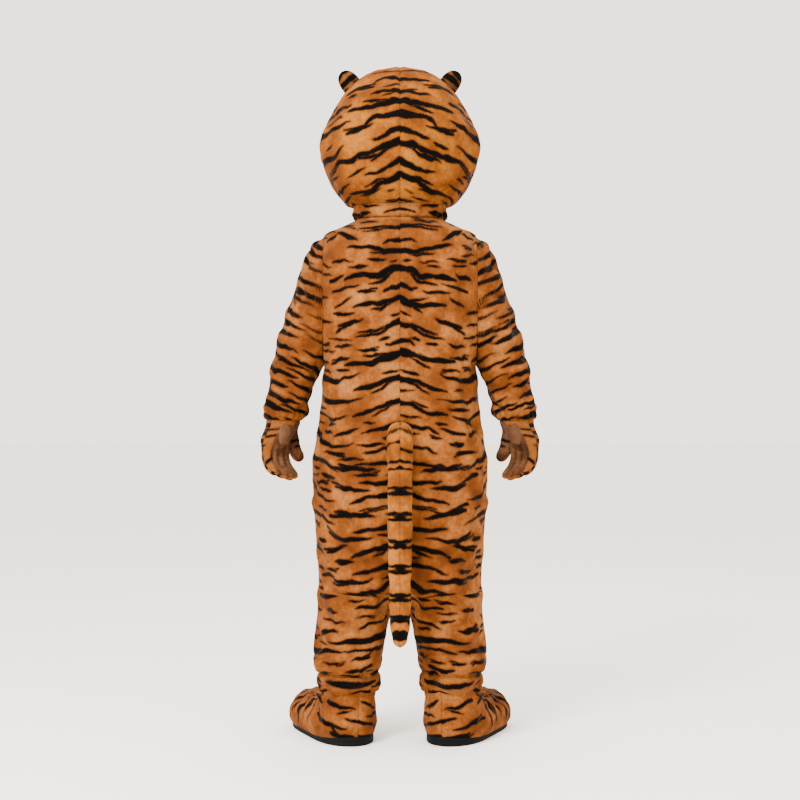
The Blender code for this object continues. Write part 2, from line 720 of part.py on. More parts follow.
def boot_quarters(side_name, side):
    outer = [boot_ring(section) for section in BOOT_SECTIONS]
    normals = grid_normals(outer, closed=True)
    if normals[2][BOOT_SIDES // 4].x < 0:
        normals = [[-normal for normal in line] for line in normals]
    inner = []
    for row, line in enumerate(outer):
        axes = {2} if row in (0, len(outer) - 1) else set()
        inner.append([point - flattened(normals[row][k], axes) * PLUSH for k, point in enumerate(line)])
    half = BOOT_SIDES // 2
    apart = Vector((math.cos(BOOT_TURN), math.sin(BOOT_TURN), 0)) * HALF_SEAM
    for part, columns, shift in (("outer", range(0, half + 1), apart),
                                 ("inner", range(half, BOOT_SIDES + 1), -apart)):
        grids = []
        for grid in (outer, inner):
            cut = [[line[k % BOOT_SIDES].copy() for k in columns] for line in grid]
            for line in cut:
                line[0] += shift
                line[-1] += shift
            grids.append(mirror_grid(cut, side))
        wall(f"boot_{part}_{side_name}", *grids, "plush")


def sole(name, side):
    """A rubber sole: flat below, with a low edge that rises round the heel."""
    section = BOOT_SECTIONS[0]
    rings = [(SOLE_BEVEL, 0, False), (0, SOLE_BEVEL, False), (0, 0, True), (SOLE_LIP, 0, True),
             (SOLE_LIP, SOLE_FLOOR, False)]
    loops = []
    for inset, height, on_rand in rings:
        loop = []
        for k in range(BOOT_SIDES):
            turn = 2 * math.pi * k / BOOT_SIDES
            place = boot_point(section, turn, inset)
            loop.append(mirrored((place.x, place.y, rand_height(turn) if on_rand else height), side))
        loops.append(loop)
    return solid_loft(name, loops, "sole")


# Gloves: a striped back and a brown palm, each cut in one piece with its fingers and thumb

def hand_place(across, height, along):
    """A point of the glove, from its own axes: across the palm, off its back, down from the knuckles."""
    palm = Vector((-math.cos(PALM_TURN), math.sin(PALM_TURN), 0))
    index = Vector((-math.sin(PALM_TURN), -math.cos(PALM_TURN), 0))
    return Vector((WRIST_X, 0, KNUCKLE_HEIGHT - along)) - palm * height + index * across


def hand_share(along):
    """0 in the wrist, 1 at the thumb's web: how far the cut has spread."""
    return smooth_step(along, HAND_SPREAD, STRIPS[-1].web)


def strip_edges(strip, along):
    share = hand_share(along)
    return blend(strip.wrist_low, strip.low, share), blend(strip.wrist_high, strip.high, share)


def span_height(across, low, high, height):
    middle, half = (low + high) / 2, (high - low) / 2
    return height * math.sqrt(max(1 - ((across - middle) / half) ** 2, 0))


def hand_height(across, along, inset):
    """How far the hand's surface lies off its middle plane, before the fingers part."""
    above = max(k for k, row in enumerate(HAND_ROWS[:-1]) if row.along <= along)
    high, low_row = HAND_ROWS[above], HAND_ROWS[above + 1]
    share = (along - high.along) / (low_row.along - high.along)
    height = blend(high.half_height, low_row.half_height, share) - inset
    low = strip_edges(STRIPS[0], along)[0] + inset
    whole = span_height(across, low, strip_edges(STRIPS[-1], along)[1] - inset, height)
    palm = span_height(across, low, strip_edges(STRIPS[-2], along)[1], height)
    return blend(whole, palm, hand_share(along))


def parted(web, along):
    """0 in the wrist, 1 at a web: how far a finger has risen out of the hand."""
    return smooth_step(along, -0.045 if web == 0 else HAND_SPREAD, web)


def hand_points(number, along, inset):
    """A strip's points across one row of the hand, the valleys between fingers deepening."""
    strip = STRIPS[number]
    low, high = strip_edges(strip, along)
    webs = {0: strip.web if number else None,
            FINGER_SPANS: STRIPS[number + 1].web if strip is not STRIPS[-1] else None}
    free = {k: web is None or along > web for k, web in webs.items()}
    low, high = low + (inset if free[0] else 0), high - (inset if free[FINGER_SPANS] else 0)
    points = []
    for k in range(FINGER_SPANS + 1):
        turn = math.pi * (k / FINGER_SPANS - 0.5)
        across = blend(low, high, 0.5 + 0.5 * math.sin(turn))
        own = (strip.half_height - inset) * math.cos(turn)
        web = webs.get(k)
        share = parted(strip.web if web is None else web, along)
        height = 0 if free.get(k) else blend(hand_height(across, along, inset), own, share)
        back = inset if web == along else 0
        points.append((across, max(height, HALF_SEAM), along - back))
    return points


def finger_points(number, row, inset):
    strip = STRIPS[number]
    share, slim = row
    middle, half = (strip.low + strip.high) / 2, (strip.high - strip.low) / 2 - FINGER_GAP - inset
    points = []
    for k in range(FINGER_SPANS + 1):
        turn = math.pi * (k / FINGER_SPANS - 0.5)
        height = max((strip.half_height - inset) * slim * math.cos(turn), HALF_SEAM)
        along = strip.web + (strip.length - inset) * share
        points.append((middle + half * slim * math.sin(turn), height, along))
    return points


def curled(strip, point, facing):
    """A strip's point, bent towards the palm below its web."""
    across, height, along = point
    height *= facing
    reach = along - strip.web
    if reach <= 0:
        return hand_place(across, height, along)
    bend = math.radians(strip.curl) / strip.length
    turn = bend * reach
    forward = math.sin(turn) / bend + height * math.sin(turn)
    height = height * math.cos(turn) - (1 - math.cos(turn)) / bend
    across += forward * math.tan(math.radians(strip.splay))
    return hand_place(across, height, strip.web + forward)


def glove_half(name, facing, side, finish):
    """The glove's back (facing 1) or palm (facing -1) with its half of every finger."""
    outer, inner, faces = [], [], []
    columns = FINGER_SPANS + 1
    for number, strip in enumerate(STRIPS):
        start = len(outer)
        rows = [row.along for row in HAND_ROWS if row.along <= strip.web]
        for points, inset in ((outer, 0), (inner, PLUSH)):
            lines = [hand_points(number, along, inset) for along in rows]
            lines += [finger_points(number, row, inset) for row in FINGER_ROWS]
            points += [mirrored(curled(strip, point, facing), side) for line in lines for point in line]
        count = len(rows) + len(FINGER_ROWS)
        faces += grid_faces(count, columns, start=start)
        tip = start + (count - 1) * columns
        faces.append(tuple(range(tip, tip + columns)))
    return thicken(name, outer, inner, faces, finish)


def palm_height(across, along):
    """Height of the glove's own facets over its middle plane, where its pad lies."""
    above = max(k for k, row in enumerate(HAND_ROWS[:-1]) if row.along <= along)
    high, low = HAND_ROWS[above].along, HAND_ROWS[above + 1].along
    share = (along - high) / (low - high)
    profile = []
    for number in range(len(STRIPS) - 1):
        for a, b in zip(hand_points(number, high, 0), hand_points(number, low, 0)):
            profile.append((blend(a[0], b[0], share), blend(a[1], b[1], share)))
    for a, b in zip(profile, profile[1:]):
        if a[0] <= across < b[0]:
            return blend(a[1], b[1], (across - a[0]) / (b[0] - a[0]))
    return 0


def heel_pad(name, side):
    """A drop-shaped pad on the palm's outer side, its underside following the palm."""
    outer, inner = [], []
    for along, half in PAD_ROWS:
        outer_line, inner_line = [], []
        for k in range(PAD_SPANS + 1):
            across = PAD_ACROSS + half * (2 * k / PAD_SPANS - 1)
            height = palm_height(across, along) + PAD_GAP
            inner_line.append(mirrored(hand_place(across, -height, along), side))
            outer_line.append(mirrored(hand_place(across, -height - PAD_THICKNESS, along), side))
        outer.append(outer_line)
        inner.append(inner_line)
    return wall(name, outer, inner, "palm")


for side_name, hand in (("left", 1), ("right", -1)):
    suit_panel(f"body_back_{side_name}", 1, hand)
    suit_panel(f"body_front_{side_name}", -1, hand)
    sleeve(f"sleeve_{side_name}", hand)
    head_back(f"head_back_{side_name}", hand)
    ear(f"ear_back_{side_name}", hand, True)
    ear(f"ear_inner_{side_name}", hand, False)
    dome(f"eye_{side_name}", EYE, "eye", head_front_depth, PLUSH, hand)
    tail_half(f"tail_{side_name}", hand)
    glove_half(f"glove_back_{side_name}", 1, hand, "plush")
    glove_half(f"glove_palm_{side_name}", -1, hand, "palm")
    heel_pad(f"glove_pad_{side_name}", hand)
    boot_quarters(side_name, hand)
    sole(f"sole_{side_name}", hand)
face("head_face")
neck_piece("head_neck")
dome("muzzle", MUZZLE, "cream", head_front_depth, PLUSH)
dome("nose", NOSE, "nose", muzzle_depth, PLUSH)
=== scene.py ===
import math

import bpy
import numpy as np
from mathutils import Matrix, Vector


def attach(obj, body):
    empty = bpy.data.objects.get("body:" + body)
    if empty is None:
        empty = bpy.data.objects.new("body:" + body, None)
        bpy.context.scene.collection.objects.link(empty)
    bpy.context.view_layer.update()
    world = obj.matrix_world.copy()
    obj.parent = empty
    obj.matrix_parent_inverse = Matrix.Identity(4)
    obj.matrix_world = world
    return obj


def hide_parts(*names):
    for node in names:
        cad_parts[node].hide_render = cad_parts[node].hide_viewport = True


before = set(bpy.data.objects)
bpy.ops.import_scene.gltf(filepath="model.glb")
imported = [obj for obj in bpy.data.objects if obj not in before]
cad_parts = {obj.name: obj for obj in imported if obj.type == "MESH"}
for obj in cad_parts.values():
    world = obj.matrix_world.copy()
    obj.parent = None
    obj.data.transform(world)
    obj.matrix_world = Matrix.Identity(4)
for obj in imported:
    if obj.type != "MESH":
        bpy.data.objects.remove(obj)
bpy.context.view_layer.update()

# Heights below are above the floor; the frame's origin is at the wearer's shoulders.
shoulderHeight = 1.425
cameraDistance = 4.5
cameraHeight = 0.954
bpy.ops.object.select_all(action="DESELECT")


def sideName(side):
    return "left" if side > 0 else "right"


# Camera, floor and light

stageSettings = {
    "lens": 71.8,
    "sky": (1.0, 0.934, 0.855, 1),
    "skyStrength": 2.85,
    "floorSize": 60,
    "floorGap": 0.001,
    "floor": (0.95, 0.915, 0.87, 1),
    "floorRoughness": 0.6,
    "aim": (0, 0, -0.5),
    "lamps": (  # name, place, size and power
        ("key", (1.8, 3.1, 2.2), 1.3, 440),
        ("fill", (-3.0, 3.4, 0.8), 2.6, 40),
        ("top", (0.3, 0.8, 3.4), 2.4, 45),
        ("rim", (-1.8, -3.2, 1.8), 2.4, 50),
    ),
}


def addStage(spec):
    camera = bpy.data.cameras.new("camera")
    camera.lens = spec["lens"]
    camera.clip_end = spec["floorSize"]
    eye = bpy.data.objects.new("camera", camera)
    eye.location = (0.0, cameraDistance, cameraHeight - shoulderHeight)
    eye.rotation_euler = (math.pi / 2, 0, math.pi)
    bpy.context.collection.objects.link(eye)
    bpy.context.scene.camera = eye
    world = bpy.data.worlds.new("studio")
    bpy.context.scene.world = world
    world.use_nodes = True
    sky = world.node_tree.nodes["Background"]
    sky.inputs["Color"].default_value = spec["sky"]
    sky.inputs["Strength"].default_value = spec["skyStrength"]
    place = (0, 0, -shoulderHeight - spec["floorGap"])
    bpy.ops.mesh.primitive_plane_add(size=spec["floorSize"], location=place)
    floor = bpy.context.object
    floor.name = "floor"
    finish = bpy.data.materials.new("floor")
    finish.use_nodes = True
    shader = finish.node_tree.nodes["Principled BSDF"]
    shader.inputs["Base Color"].default_value = spec["floor"]
    shader.inputs["Roughness"].default_value = spec["floorRoughness"]
    floor.data.materials.append(finish)
    for name, place, size, power in spec["lamps"]:
        lamp = bpy.data.lights.new(name, "AREA")
        lamp.size = size
        lamp.energy = power
        light = bpy.data.objects.new(name, lamp)
        light.location = place
        towards = Vector(spec["aim"]) - Vector(place)
        light.rotation_euler = towards.to_track_quat("-Z", "Y").to_euler()
        bpy.context.collection.objects.link(light)


addStage(stageSettings)
print("stage ready")


# Shader building blocks

class Socket:
    # A node's output that can be used in sums.

    def __init__(self, graph, output):
        self.graph = graph
        self.output = output

    def math(self, kind, other, swapped=False):
        pair = (other, self) if swapped else (self, other)
        return self.graph.add("ShaderNodeMath", {0: pair[0], 1: pair[1]}, operation=kind)

    def __add__(self, other):
        return self.math("ADD", other)

    def __radd__(self, other):
        return self.math("ADD", other, True)

    def __sub__(self, other):
        return self.math("SUBTRACT", other)

    def __rsub__(self, other):
        return self.math("SUBTRACT", other, True)

    def __mul__(self, other):
        return self.math("MULTIPLY", other)

    def __rmul__(self, other):
        return self.math("MULTIPLY", other, True)


class Graph:
    # A material's nodes.

    def __init__(self, name):
        self.material = bpy.data.materials.new(name)
        self.material.use_nodes = True
        self.tree = self.material.node_tree
        self.shader = self.tree.nodes["Principled BSDF"]

    def add(self, kind, inputs=None, out=0, **settings):
        node = self.tree.nodes.new(kind)
        for key, value in settings.items():
            setattr(node, key, value)
        for key, value in (inputs or {}).items():
            if isinstance(value, Socket):
                self.tree.links.new(value.output, node.inputs[key])
            else:
                node.inputs[key].default_value = value
        return Socket(self, node.outputs[out])

    def noise(self, coords, scale, detail=2.0, roughness=0.5):
        settings = {"Vector": coords, "Scale": scale, "Detail": detail, "Roughness": roughness}
        return self.add("ShaderNodeTexNoise", settings, out="Fac")

    def ramp(self, value, low, high):
        inputs = {0: value, 1: low, 2: high}
        return self.add("ShaderNodeMapRange", inputs, interpolation_type="SMOOTHSTEP")

    def mix(self, factor, first, second):
        node = self.tree.nodes.new("ShaderNodeMix")
        node.data_type = "RGBA"
        for index, value in ((0, factor), (6, first), (7, second)):
            if isinstance(value, Socket):
                self.tree.links.new(value.output, node.inputs[index])
            else:
                node.inputs[index].default_value = value if index == 0 else (*value, 1)
        return Socket(self, node.outputs[2])

    def millimetres(self, name):
        # A distance that is painted on the piece in metres.
        return self.add("ShaderNodeAttribute", out="Fac", attribute_name=name) * 1000.0

    def link(self, value, name):
        self.tree.links.new(value.output, self.shader.inputs[name])

    def constant(self, name, value):
        self.shader.inputs[name].default_value = value

    def bump(self, height, strength, distance):
        settings = {"Height": height, "Strength": strength, "Distance": distance}
        self.link(self.add("ShaderNodeBump", settings, out="Normal"), "Normal")


plushSettings = {
    "deep": (0.07, 0.0178, 0.0031),
    "orange": (0.187, 0.0512, 0.007),
    # the pale patches' colour: a lighter tone of the pile, and partly a painted highlight standing in for its
    # sheen
    "light": (0.264, 0.1, 0.025),
    "cream": (0.5, 0.38, 0.25),
    "black": (0.0012, 0.0009, 0.0008),
    "threadAndCreaseShade": (0.03, 0.009, 0.003),
    "ragged": 6.4,
    "noises": (  # scale, detail and roughness of patches, large patches, tufts, pile, hair and lumps
        (15.0, 2.0, 0.5), (6.0, 1.0, 0.5), (95.0, 3.0, 0.65),
        (230.0, 3.0, 0.65), (620.0, 2.0, 0.6), (19.0, 1.0, 0.4),
    ),
    "shine": {
        "Roughness": 0.95, "Sheen Weight": 0.03, "Sheen Roughness": 0.45,
        "Sheen Tint": (1.0, 0.72, 0.48, 1), "Specular IOR Level": 0.03,
    },
    "bump": (0.6, 0.0035),
}


def plushMaterial(name, spec):
    graph = Graph(name)
    coords = graph.add("ShaderNodeTexCoord", out="Object")
    patches, large, tufts, pile, hair, lumps = (graph.noise(coords, *row) for row in spec["noises"])
    warm = graph.ramp(patches * 0.6 + large * 0.28 + tufts * 0.12, 0.32, 0.6)
    # Pale patches: a random lighter tone of the pile, and also a painted highlight standing in for the pile's
    # sheen.
    paleToneAndSheen = graph.ramp(patches * 0.5 + large * 0.35 + tufts * 0.15, 0.46, 0.69)
    ground = graph.mix(warm, spec["deep"], spec["orange"])
    ground = graph.mix(paleToneAndSheen, ground, spec["light"])
    cream = graph.ramp(graph.millimetres("cream") + (pile - 0.5) * 6.0, -3.0, 3.0)
    ground = graph.mix(cream, ground, spec["cream"])
    roots = graph.ramp(hair * 0.5 + tufts * 0.5, 0.62, 0.38) * 0.42
    ground = graph.mix(roots, ground, spec["deep"])
    stripe = graph.millimetres("stripe")
    shade = graph.ramp(stripe + (tufts - 0.5) * 8.0, -8.0, 1.0) * 0.45
    ground = graph.mix(shade, ground, spec["deep"])
    # Darker thread along the seams; on the palm the same paint also draws its creases, which is painted
    # shade.
    seam = graph.ramp(graph.millimetres("seam"), 0.2, 2.6)
    ground = graph.mix((1.0 - seam) * 0.4, ground, spec["threadAndCreaseShade"])
    ink = graph.ramp(stripe + (pile - 0.5) * spec["ragged"] + (hair - 0.5) * 5.0, -2.6, 1.9)
    graph.link(graph.mix(ink, ground, spec["black"]), "Base Color")
    for socket, value in spec["shine"].items():
        graph.constant(socket, value)
    graph.bump(tufts * 0.5 + pile * 0.35 + hair * 0.2 + lumps * 7.0, *spec["bump"])
    return graph.material


def plainMaterial(name, spec):
    # Plain cloth or rubber of two near colours, darker along its seams.
    graph = Graph(name)
    coords = graph.add("ShaderNodeTexCoord", out="Object")
    broad = graph.noise(coords, 16.0, 3.0)
    fine = graph.noise(coords, spec["grain"], 3.0, 0.6)
    colour = graph.mix(graph.ramp(broad * 0.6 + fine * 0.4, 0.35, 0.65), spec["dark"], spec["light"])
    seam = graph.ramp(graph.millimetres("seam"), 0.3, 1.6)
    colour = graph.mix((1.0 - seam) * 0.6, colour, tuple(0.25 * value for value in spec["dark"]))
    graph.link(colour, "Base Color")
    graph.constant("Roughness", spec["roughness"])
    graph.constant("Specular IOR Level", spec["specular"])
    graph.constant("Coat Weight", spec.get("coat", 0.0))
    graph.bump(fine, *spec["bump"])
    return graph.material


plush = plushMaterial("plush", plushSettings)
palmCloth = plushMaterial("palm", {
    **plushSettings,
    "deep": (0.03, 0.011, 0.0042),
    "orange": (0.08, 0.031, 0.013),
    "light": (0.125, 0.053, 0.024),
    "cream": (0.165, 0.052, 0.01),
})
# A lighter copy of the plush for the tail: painted light, the tail brighter than the shaded hips beside it.
litTailPlush = plushMaterial("litTailPlush", {
    **plushSettings,
    "deep": (0.1, 0.027, 0.0035),
    "orange": (0.25, 0.074, 0.0085),
    "light": (0.335, 0.125, 0.02),
})
earPlush = plushMaterial("earPlush", {
    **plushSettings,
    "deep": (0.04, 0.0125, 0.0032),
    "orange": (0.092, 0.03, 0.0066),
    "light": (0.135, 0.05, 0.013),
})
headPlush = plushMaterial("headPlush", {
    **plushSettings,
    "deep": (0.078, 0.0195, 0.0022),
    "orange": (0.204, 0.056, 0.0045),
    "light": (0.262, 0.093, 0.011),
})
padCloth = plainMaterial("pad", {
    "dark": (0.058, 0.023, 0.01), "light": (0.098, 0.042, 0.02),
    "roughness": 0.9, "specular": 0.05, "grain": 420.0, "bump": (0.35, 0.0012),
})
soleRubber = plainMaterial("sole", {
    "dark": (0.0014, 0.0014, 0.0015), "light": (0.003, 0.003, 0.0032),
    "roughness": 0.8, "specular": 0.08, "grain": 300.0, "bump": (0.2, 0.0006),
})
noseRubber = plainMaterial("nose", {
    "dark": (0.003, 0.0026, 0.0026), "light": (0.007, 0.0062, 0.0062),
    "roughness": 0.45, "specular": 0.12, "grain": 350.0, "bump": (0.25, 0.0006),
})
eyeGloss = plainMaterial("eye", {
    "dark": (0.0012, 0.001, 0.0009), "light": (0.003, 0.002, 0.0015),
    "roughness": 0.22, "specular": 0.1, "grain": 60.0, "bump": (0.0, 0.0002), "coat": 0.12,
})
print("materials ready")


# Grids of points and what is painted on them

def smooth(xs, ys, at):
    # A monotone curve through a table's points.
    xs, ys = np.asarray(xs, float), np.asarray(ys, float)
    if xs[0] > xs[-1]:
        xs, ys = xs[::-1], ys[::-1]
    step = np.diff(xs)
    slope = np.diff(ys) / step
    tangent = np.zeros(len(xs))
    same = slope[1:] * slope[:-1] > 0
    weightA, weightB = 2 * step[1:] + step[:-1], step[1:] + 2 * step[:-1]
    safe = np.where(same, slope[:-1] * slope[1:], 1)
    inner = (weightA + weightB) * safe / (weightA * slope[1:] + weightB * slope[:-1] + 1e-15)
    tangent[1:-1] = np.where(same, inner, 0)
    tangent[0], tangent[-1] = slope[0], slope[-1]
    at = np.clip(np.asarray(at, float), xs[0], xs[-1])
    cell = np.clip(np.searchsorted(xs, at) - 1, 0, len(step) - 1)
    t = (at - xs[cell]) / step[cell]
    h = step[cell]
    return (
        ys[cell] * (2 * t**3 - 3 * t**2 + 1) + ys[cell + 1] * (3 * t**2 - 2 * t**3)
        + tangent[cell] * h * (t**3 - 2 * t**2 + t) + tangent[cell + 1] * h * (t**3 - t**2)
    )


def smoothStep(value, low, high):
    share = np.clip((value - low) / (high - low), 0, 1)
    return share * share * (3 - 2 * share)


def trough(distance, width):
    # One on a line, and next to nothing at twice the width beside it.
    return np.exp(-((distance / width) ** 2))


def running(steps):
    return np.concatenate([[0], np.cumsum(steps)])


def waves(points, size, seed):
    # A soft random field of about unit height, its bumps as wide as size.
    source = np.random.RandomState(seed)
    total = np.zeros(points.shape[:-1])
    count = 22
    for _ in range(count):
        direction = source.normal(size=3)
        direction /= np.linalg.norm(direction)
        rate = 2 * math.pi / (size * source.uniform(0.8, 2.0))
        total += np.cos(points @ direction * rate + source.uniform(0, 6.28))
    return total / math.sqrt(count / 2)


def gridNormals(grid, closed=False):
    if closed:
        along = np.roll(grid, -1, axis=1) - np.roll(grid, 1, axis=1)
    else:
        along = np.gradient(grid, axis=1)
    down = np.gradient(grid, axis=0)
    normals = np.cross(down, along)
    return normals / np.maximum(np.linalg.norm(normals, axis=-1, keepdims=True), 1e-12)


def turned(normals, sample):
    # Normals the other way round where a sample shows that they point inwards.
    return -normals if sample < 0 else normals


def arcs(grid, axis):
    # Distances run along a grid's rows (axis 1) or columns (axis 0).
    steps = np.linalg.norm(np.diff(grid, axis=axis), axis=-1)
    run = np.zeros(grid.shape[:2])
    if axis == 1:
        run[:, 1:] = np.cumsum(steps, axis=1)
    else:
        run[1:] = np.cumsum(steps, axis=0)
    return run


# What a point carries where nothing is painted: metres into a stripe or a light patch, and from a seam.
unpainted = {"stripe": -0.02, "seam": 0.02, "cream": -0.02}


def strokeField(across, down, strokes, margin=0.012):
    # How far each point lies inside the nearest stroke; negative outside.
    field = np.full(across.shape, unpainted["stripe"])
    for line, halves in strokes:
        reach = margin + max(halves)
        low, high = line.min(axis=0) - reach, line.max(axis=0) + reach
        near = (across > low[0]) & (across < high[0]) & (down > low[1]) & (down < high[1])
        if not near.any():
            continue
        x, y = across[near], down[near]
        best = np.full(x.shape, unpainted["stripe"])
        for k, (startX, startY) in enumerate(line[:-1]):
            step = line[k + 1] - line[k]
            share = ((x - startX) * step[0] + (y - startY) * step[1]) / max(step @ step, 1e-12)
            share = np.clip(share, 0, 1)
            away = np.hypot(x - startX - share * step[0], y - startY - share * step[1])
            best = np.maximum(best, halves[k] + (halves[k + 1] - halves[k]) * share - away)
        field[near] = np.maximum(field[near], best)
    return field


# A stripe is a few overlapping streaks along one line. Each streak has the shares of the line where it
# starts and ends, its offsets there in stripe widths, its thickness, and how blunt its two ends are.
stripeKinds = {
    "arm": ((0.0, 0.8, 0.0, 0.05, 1.0, 1.0, 0.0), (0.4, 1.0, 0.32, -0.1, 0.62, 0.0, 0.2)),
    "split": ((0.0, 0.66, 0.0, 0.1, 1.0, 1.0, 0.0), (0.3, 1.0, 0.42, 0.0, 0.72, 0.0, 0.2),
              (0.16, 0.6, -0.45, -0.8, 0.45, 0.0, 0.2)),
    "twin": ((0.0, 0.44, 0.0, 0.0, 1.0, 1.0, 0.0), (0.14, 1.0, 0.3, 0.1, 0.52, 0.0, 0.2),
             (0.14, 0.9, -0.32, -0.5, 0.48, 0.0, 0.2)),
    "side": ((0.0, 1.0, 0.0, 0.0, 1.0, 0.4, 0.06),),
    "fork": ((0.08, 1.0, 0.0, 0.0, 1.0, 0.3, 0.06), (0.0, 0.62, 0.95, 0.1, 0.6, 0.5, 0.0)),
    "dash": ((0.0, 1.0, 0.0, 0.0, 1.0, 0.1, 0.06),),
}


strokeSettings = {
    "shortest": 0.006,  # a shorter line is left out
    "linePoints": 29,
    "streakPoints": 17,
    "wobble": (0.016, 0.0019, 0.03),  # its spacing, its most and its most as a share of the length
    "flip": 0.6,
    "shift": (0.05, 0.06),  # how far a streak's two ends move
    "taper": 0.72,
    "rough": (7, 0.15),
    "thinnest": 0.0007,
}


def addStripe(strokes, source, kind, width, points):
    spec = strokeSettings
    points = np.array(points, float)
    steps = np.linalg.norm(np.diff(points, axis=0), axis=1)
    length = float(steps.sum())
    if length < spec["shortest"]:
        return
    run = running(steps + 1e-6)
    run /= run[-1]
    share = np.linspace(0, 1, spec["linePoints"])
    line = np.stack([smooth(run, points[:, k], share) for k in (0, 1)], axis=-1)
    spacing, most, part = spec["wobble"]
    knots = max(3, int(length / spacing) + 2)
    wobble = source.normal(size=knots) * min(most, length * part)
    wobble = np.interp(share, np.linspace(0, 1, knots), wobble)
    ahead = np.gradient(line, axis=0)
    ahead /= np.linalg.norm(ahead, axis=1, keepdims=True) + 1e-9
    sideways = np.stack([-ahead[:, 1], ahead[:, 0]], axis=-1)
    line = line + wobble[:, None] * sideways
    flip = 1 if source.uniform() < spec["flip"] else -1
    count, (early, late), (bumps, rough) = spec["streakPoints"], spec["shift"], spec["rough"]
    even = np.linspace(0, 1, count)
    for first, last, offsetA, offsetB, thick, bluntA, bluntB in stripeKinds[kind]:
        if first > 0:
            first += source.uniform(-early, early)
        if last < 1:
            last += source.uniform(-late, late)
        inside = np.linspace(max(first, 0), last, count)
        offset = np.linspace(offsetA, offsetB, count) * width * flip
        middle = np.stack([np.interp(inside, share, line[:, k]) for k in (0, 1)], axis=-1)
        beside = np.stack([np.interp(inside, share, sideways[:, k]) for k in (0, 1)], axis=-1)
        ends = np.linspace(0.5 * bluntA, 1 - 0.5 * bluntB, count)
        body = np.sin(math.pi * ends) ** spec["taper"]
        uneven = np.interp(even, np.linspace(0, 1, bumps), source.normal(size=bumps))
        halves = np.maximum(width * thick / 2 * body * (1 + rough * uneven), spec["thinnest"])
        strokes.append((middle + offset[:, None] * beside, halves))


def inMetres(rows):
    # A stripe's row is its kind, then its width and its points' places in millimetres.
    return [(kind, width / 1000, [(x / 1000, z / 1000) for x, z in zip(places[::2], places[1::2])])
            for kind, width, *places in rows]


def fromBehind(x, y, z, facing=1):
    # Where a point is seen from behind, in the plane of the shoulders.
    far = cameraDistance / (cameraDistance - y * facing)
    return x * far, cameraHeight + (z - cameraHeight) * far


def seenPlaces(grid, across, down, points, facing=1, shown=None, reach=0.014):
    # Where points seen from behind lie on a surface, in its own distances.
    x, z = fromBehind(grid[..., 0], grid[..., 1], grid[..., 2], facing)
    places = []
    for u, v in points:
        away = np.hypot(x - u, z - v)
        if shown is not None:
            away = np.where(shown, away, away + 1.0)
        index = np.unravel_index(np.argmin(away), away.shape)
        if away[index] < reach:
            places.append((across[index], down[index]))
    return places


def addSeenStripes(strokes, source, table, grid, across, down, facing=1, shown=None):
    for kind, width, points in table:
        nudge = source.normal(size=(len(points), 2)) * 0.0016
        nudge[0, 0] = 0
        moved = np.array(points) + nudge
        width = width * source.uniform(0.98, 1.16)
        places = seenPlaces(grid, across, down, moved, facing, shown)
        if len(places) > 1:
            addStripe(strokes, source, kind, width, places)


def addDashes(strokes, source, across, down, count, slope, clear):
    # Short stripes in the widest gaps between the others; they rise towards the sides.
    shares = np.array([-1.0, -0.5, 0.0, 0.5, 1.0])
    for _ in range(count):
        row, column = source.randint(across.shape[0]), source.randint(across.shape[1])
        outwards = across[row, column] / max(across[row, -1], 1e-6)
        lean = np.interp(outwards, (0, 1), slope) + source.uniform(-0.08, 0.08)
        reach = source.uniform(0.018, 0.042)
        x, z = across[row, column] + shares * reach, down[row, column] + shares * reach * lean
        if strokeField(x, z, strokes).max() < -clear:
            kind = ("dash", "fork", "dash")[source.randint(3)]
            width = source.uniform(0.007, 0.01)
            addStripe(strokes, source, kind, width, np.stack([x, z], axis=-1))


def openForEditing(piece, select):
    bpy.ops.object.select_all(action="DESELECT")
    piece.select_set(True)
    bpy.context.view_layer.objects.active = piece
    bpy.ops.object.mode_set(mode="EDIT")
    bpy.ops.mesh.select_all(action=select)


def addPiece(name, points, faces, finish, paint):
    # A mesh with its paint as point attributes, its doubles merged and its faces turned outwards.
    mesh = bpy.data.meshes.new(name)
    mesh.from_pydata(points.tolist(), [], faces)
    for label, plain in unpainted.items():
        values = paint.get(label)
        values = np.full(len(points), plain) if values is None else values.reshape(-1)
        layer = mesh.attributes.new(label, "FLOAT", "POINT")
        layer.data.foreach_set("value", values.astype(np.float32))
    piece = bpy.data.objects.new(name, mesh)
    bpy.context.collection.objects.link(piece)
    openForEditing(piece, "SELECT")
    bpy.ops.mesh.remove_doubles(threshold=0.00001)
    bpy.ops.mesh.normals_make_consistent(inside=False)
    bpy.ops.object.mode_set(mode="OBJECT")
    bpy.ops.object.shade_smooth()
    mesh.materials.append(finish)
    piece.select_set(False)
    return piece


def meshPiece(name, grid, finish, side=1, closed=False, aboveFloor=True, **paint):
    # A sheet of quads from a grid of points; a closed one runs round.
    points = grid * (side, 1, 1)
    if aboveFloor:
        points[..., 2] -= shoulderHeight
    rows, columns = grid.shape[:2]
    index = np.arange(rows * columns).reshape(rows, columns)
    right = np.roll(index, -1, axis=1)
    last = columns if closed else columns - 1
    quads = np.stack([index[:-1, :last], right[:-1, :last], right[1:, :last], index[1:, :last]], axis=-1)
    return addPiece(name, points.reshape(-1, 3), quads.reshape(-1, 4).tolist(), finish, paint)


def declare(piece, nodes, grid, kind="sheet", closed=False):
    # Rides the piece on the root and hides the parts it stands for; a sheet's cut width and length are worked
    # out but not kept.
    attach(piece, "root")
    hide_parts(*nodes)
    if kind == "padded":
        return
    if kind != "sheet":
        return
    ring = np.concatenate([grid, grid[:, :1]], axis=1) if closed else grid
    width = float(arcs(ring, 1)[:, -1].max())
    length = float(arcs(grid, 0)[-1].max())


# Suit: two backs, two fronts

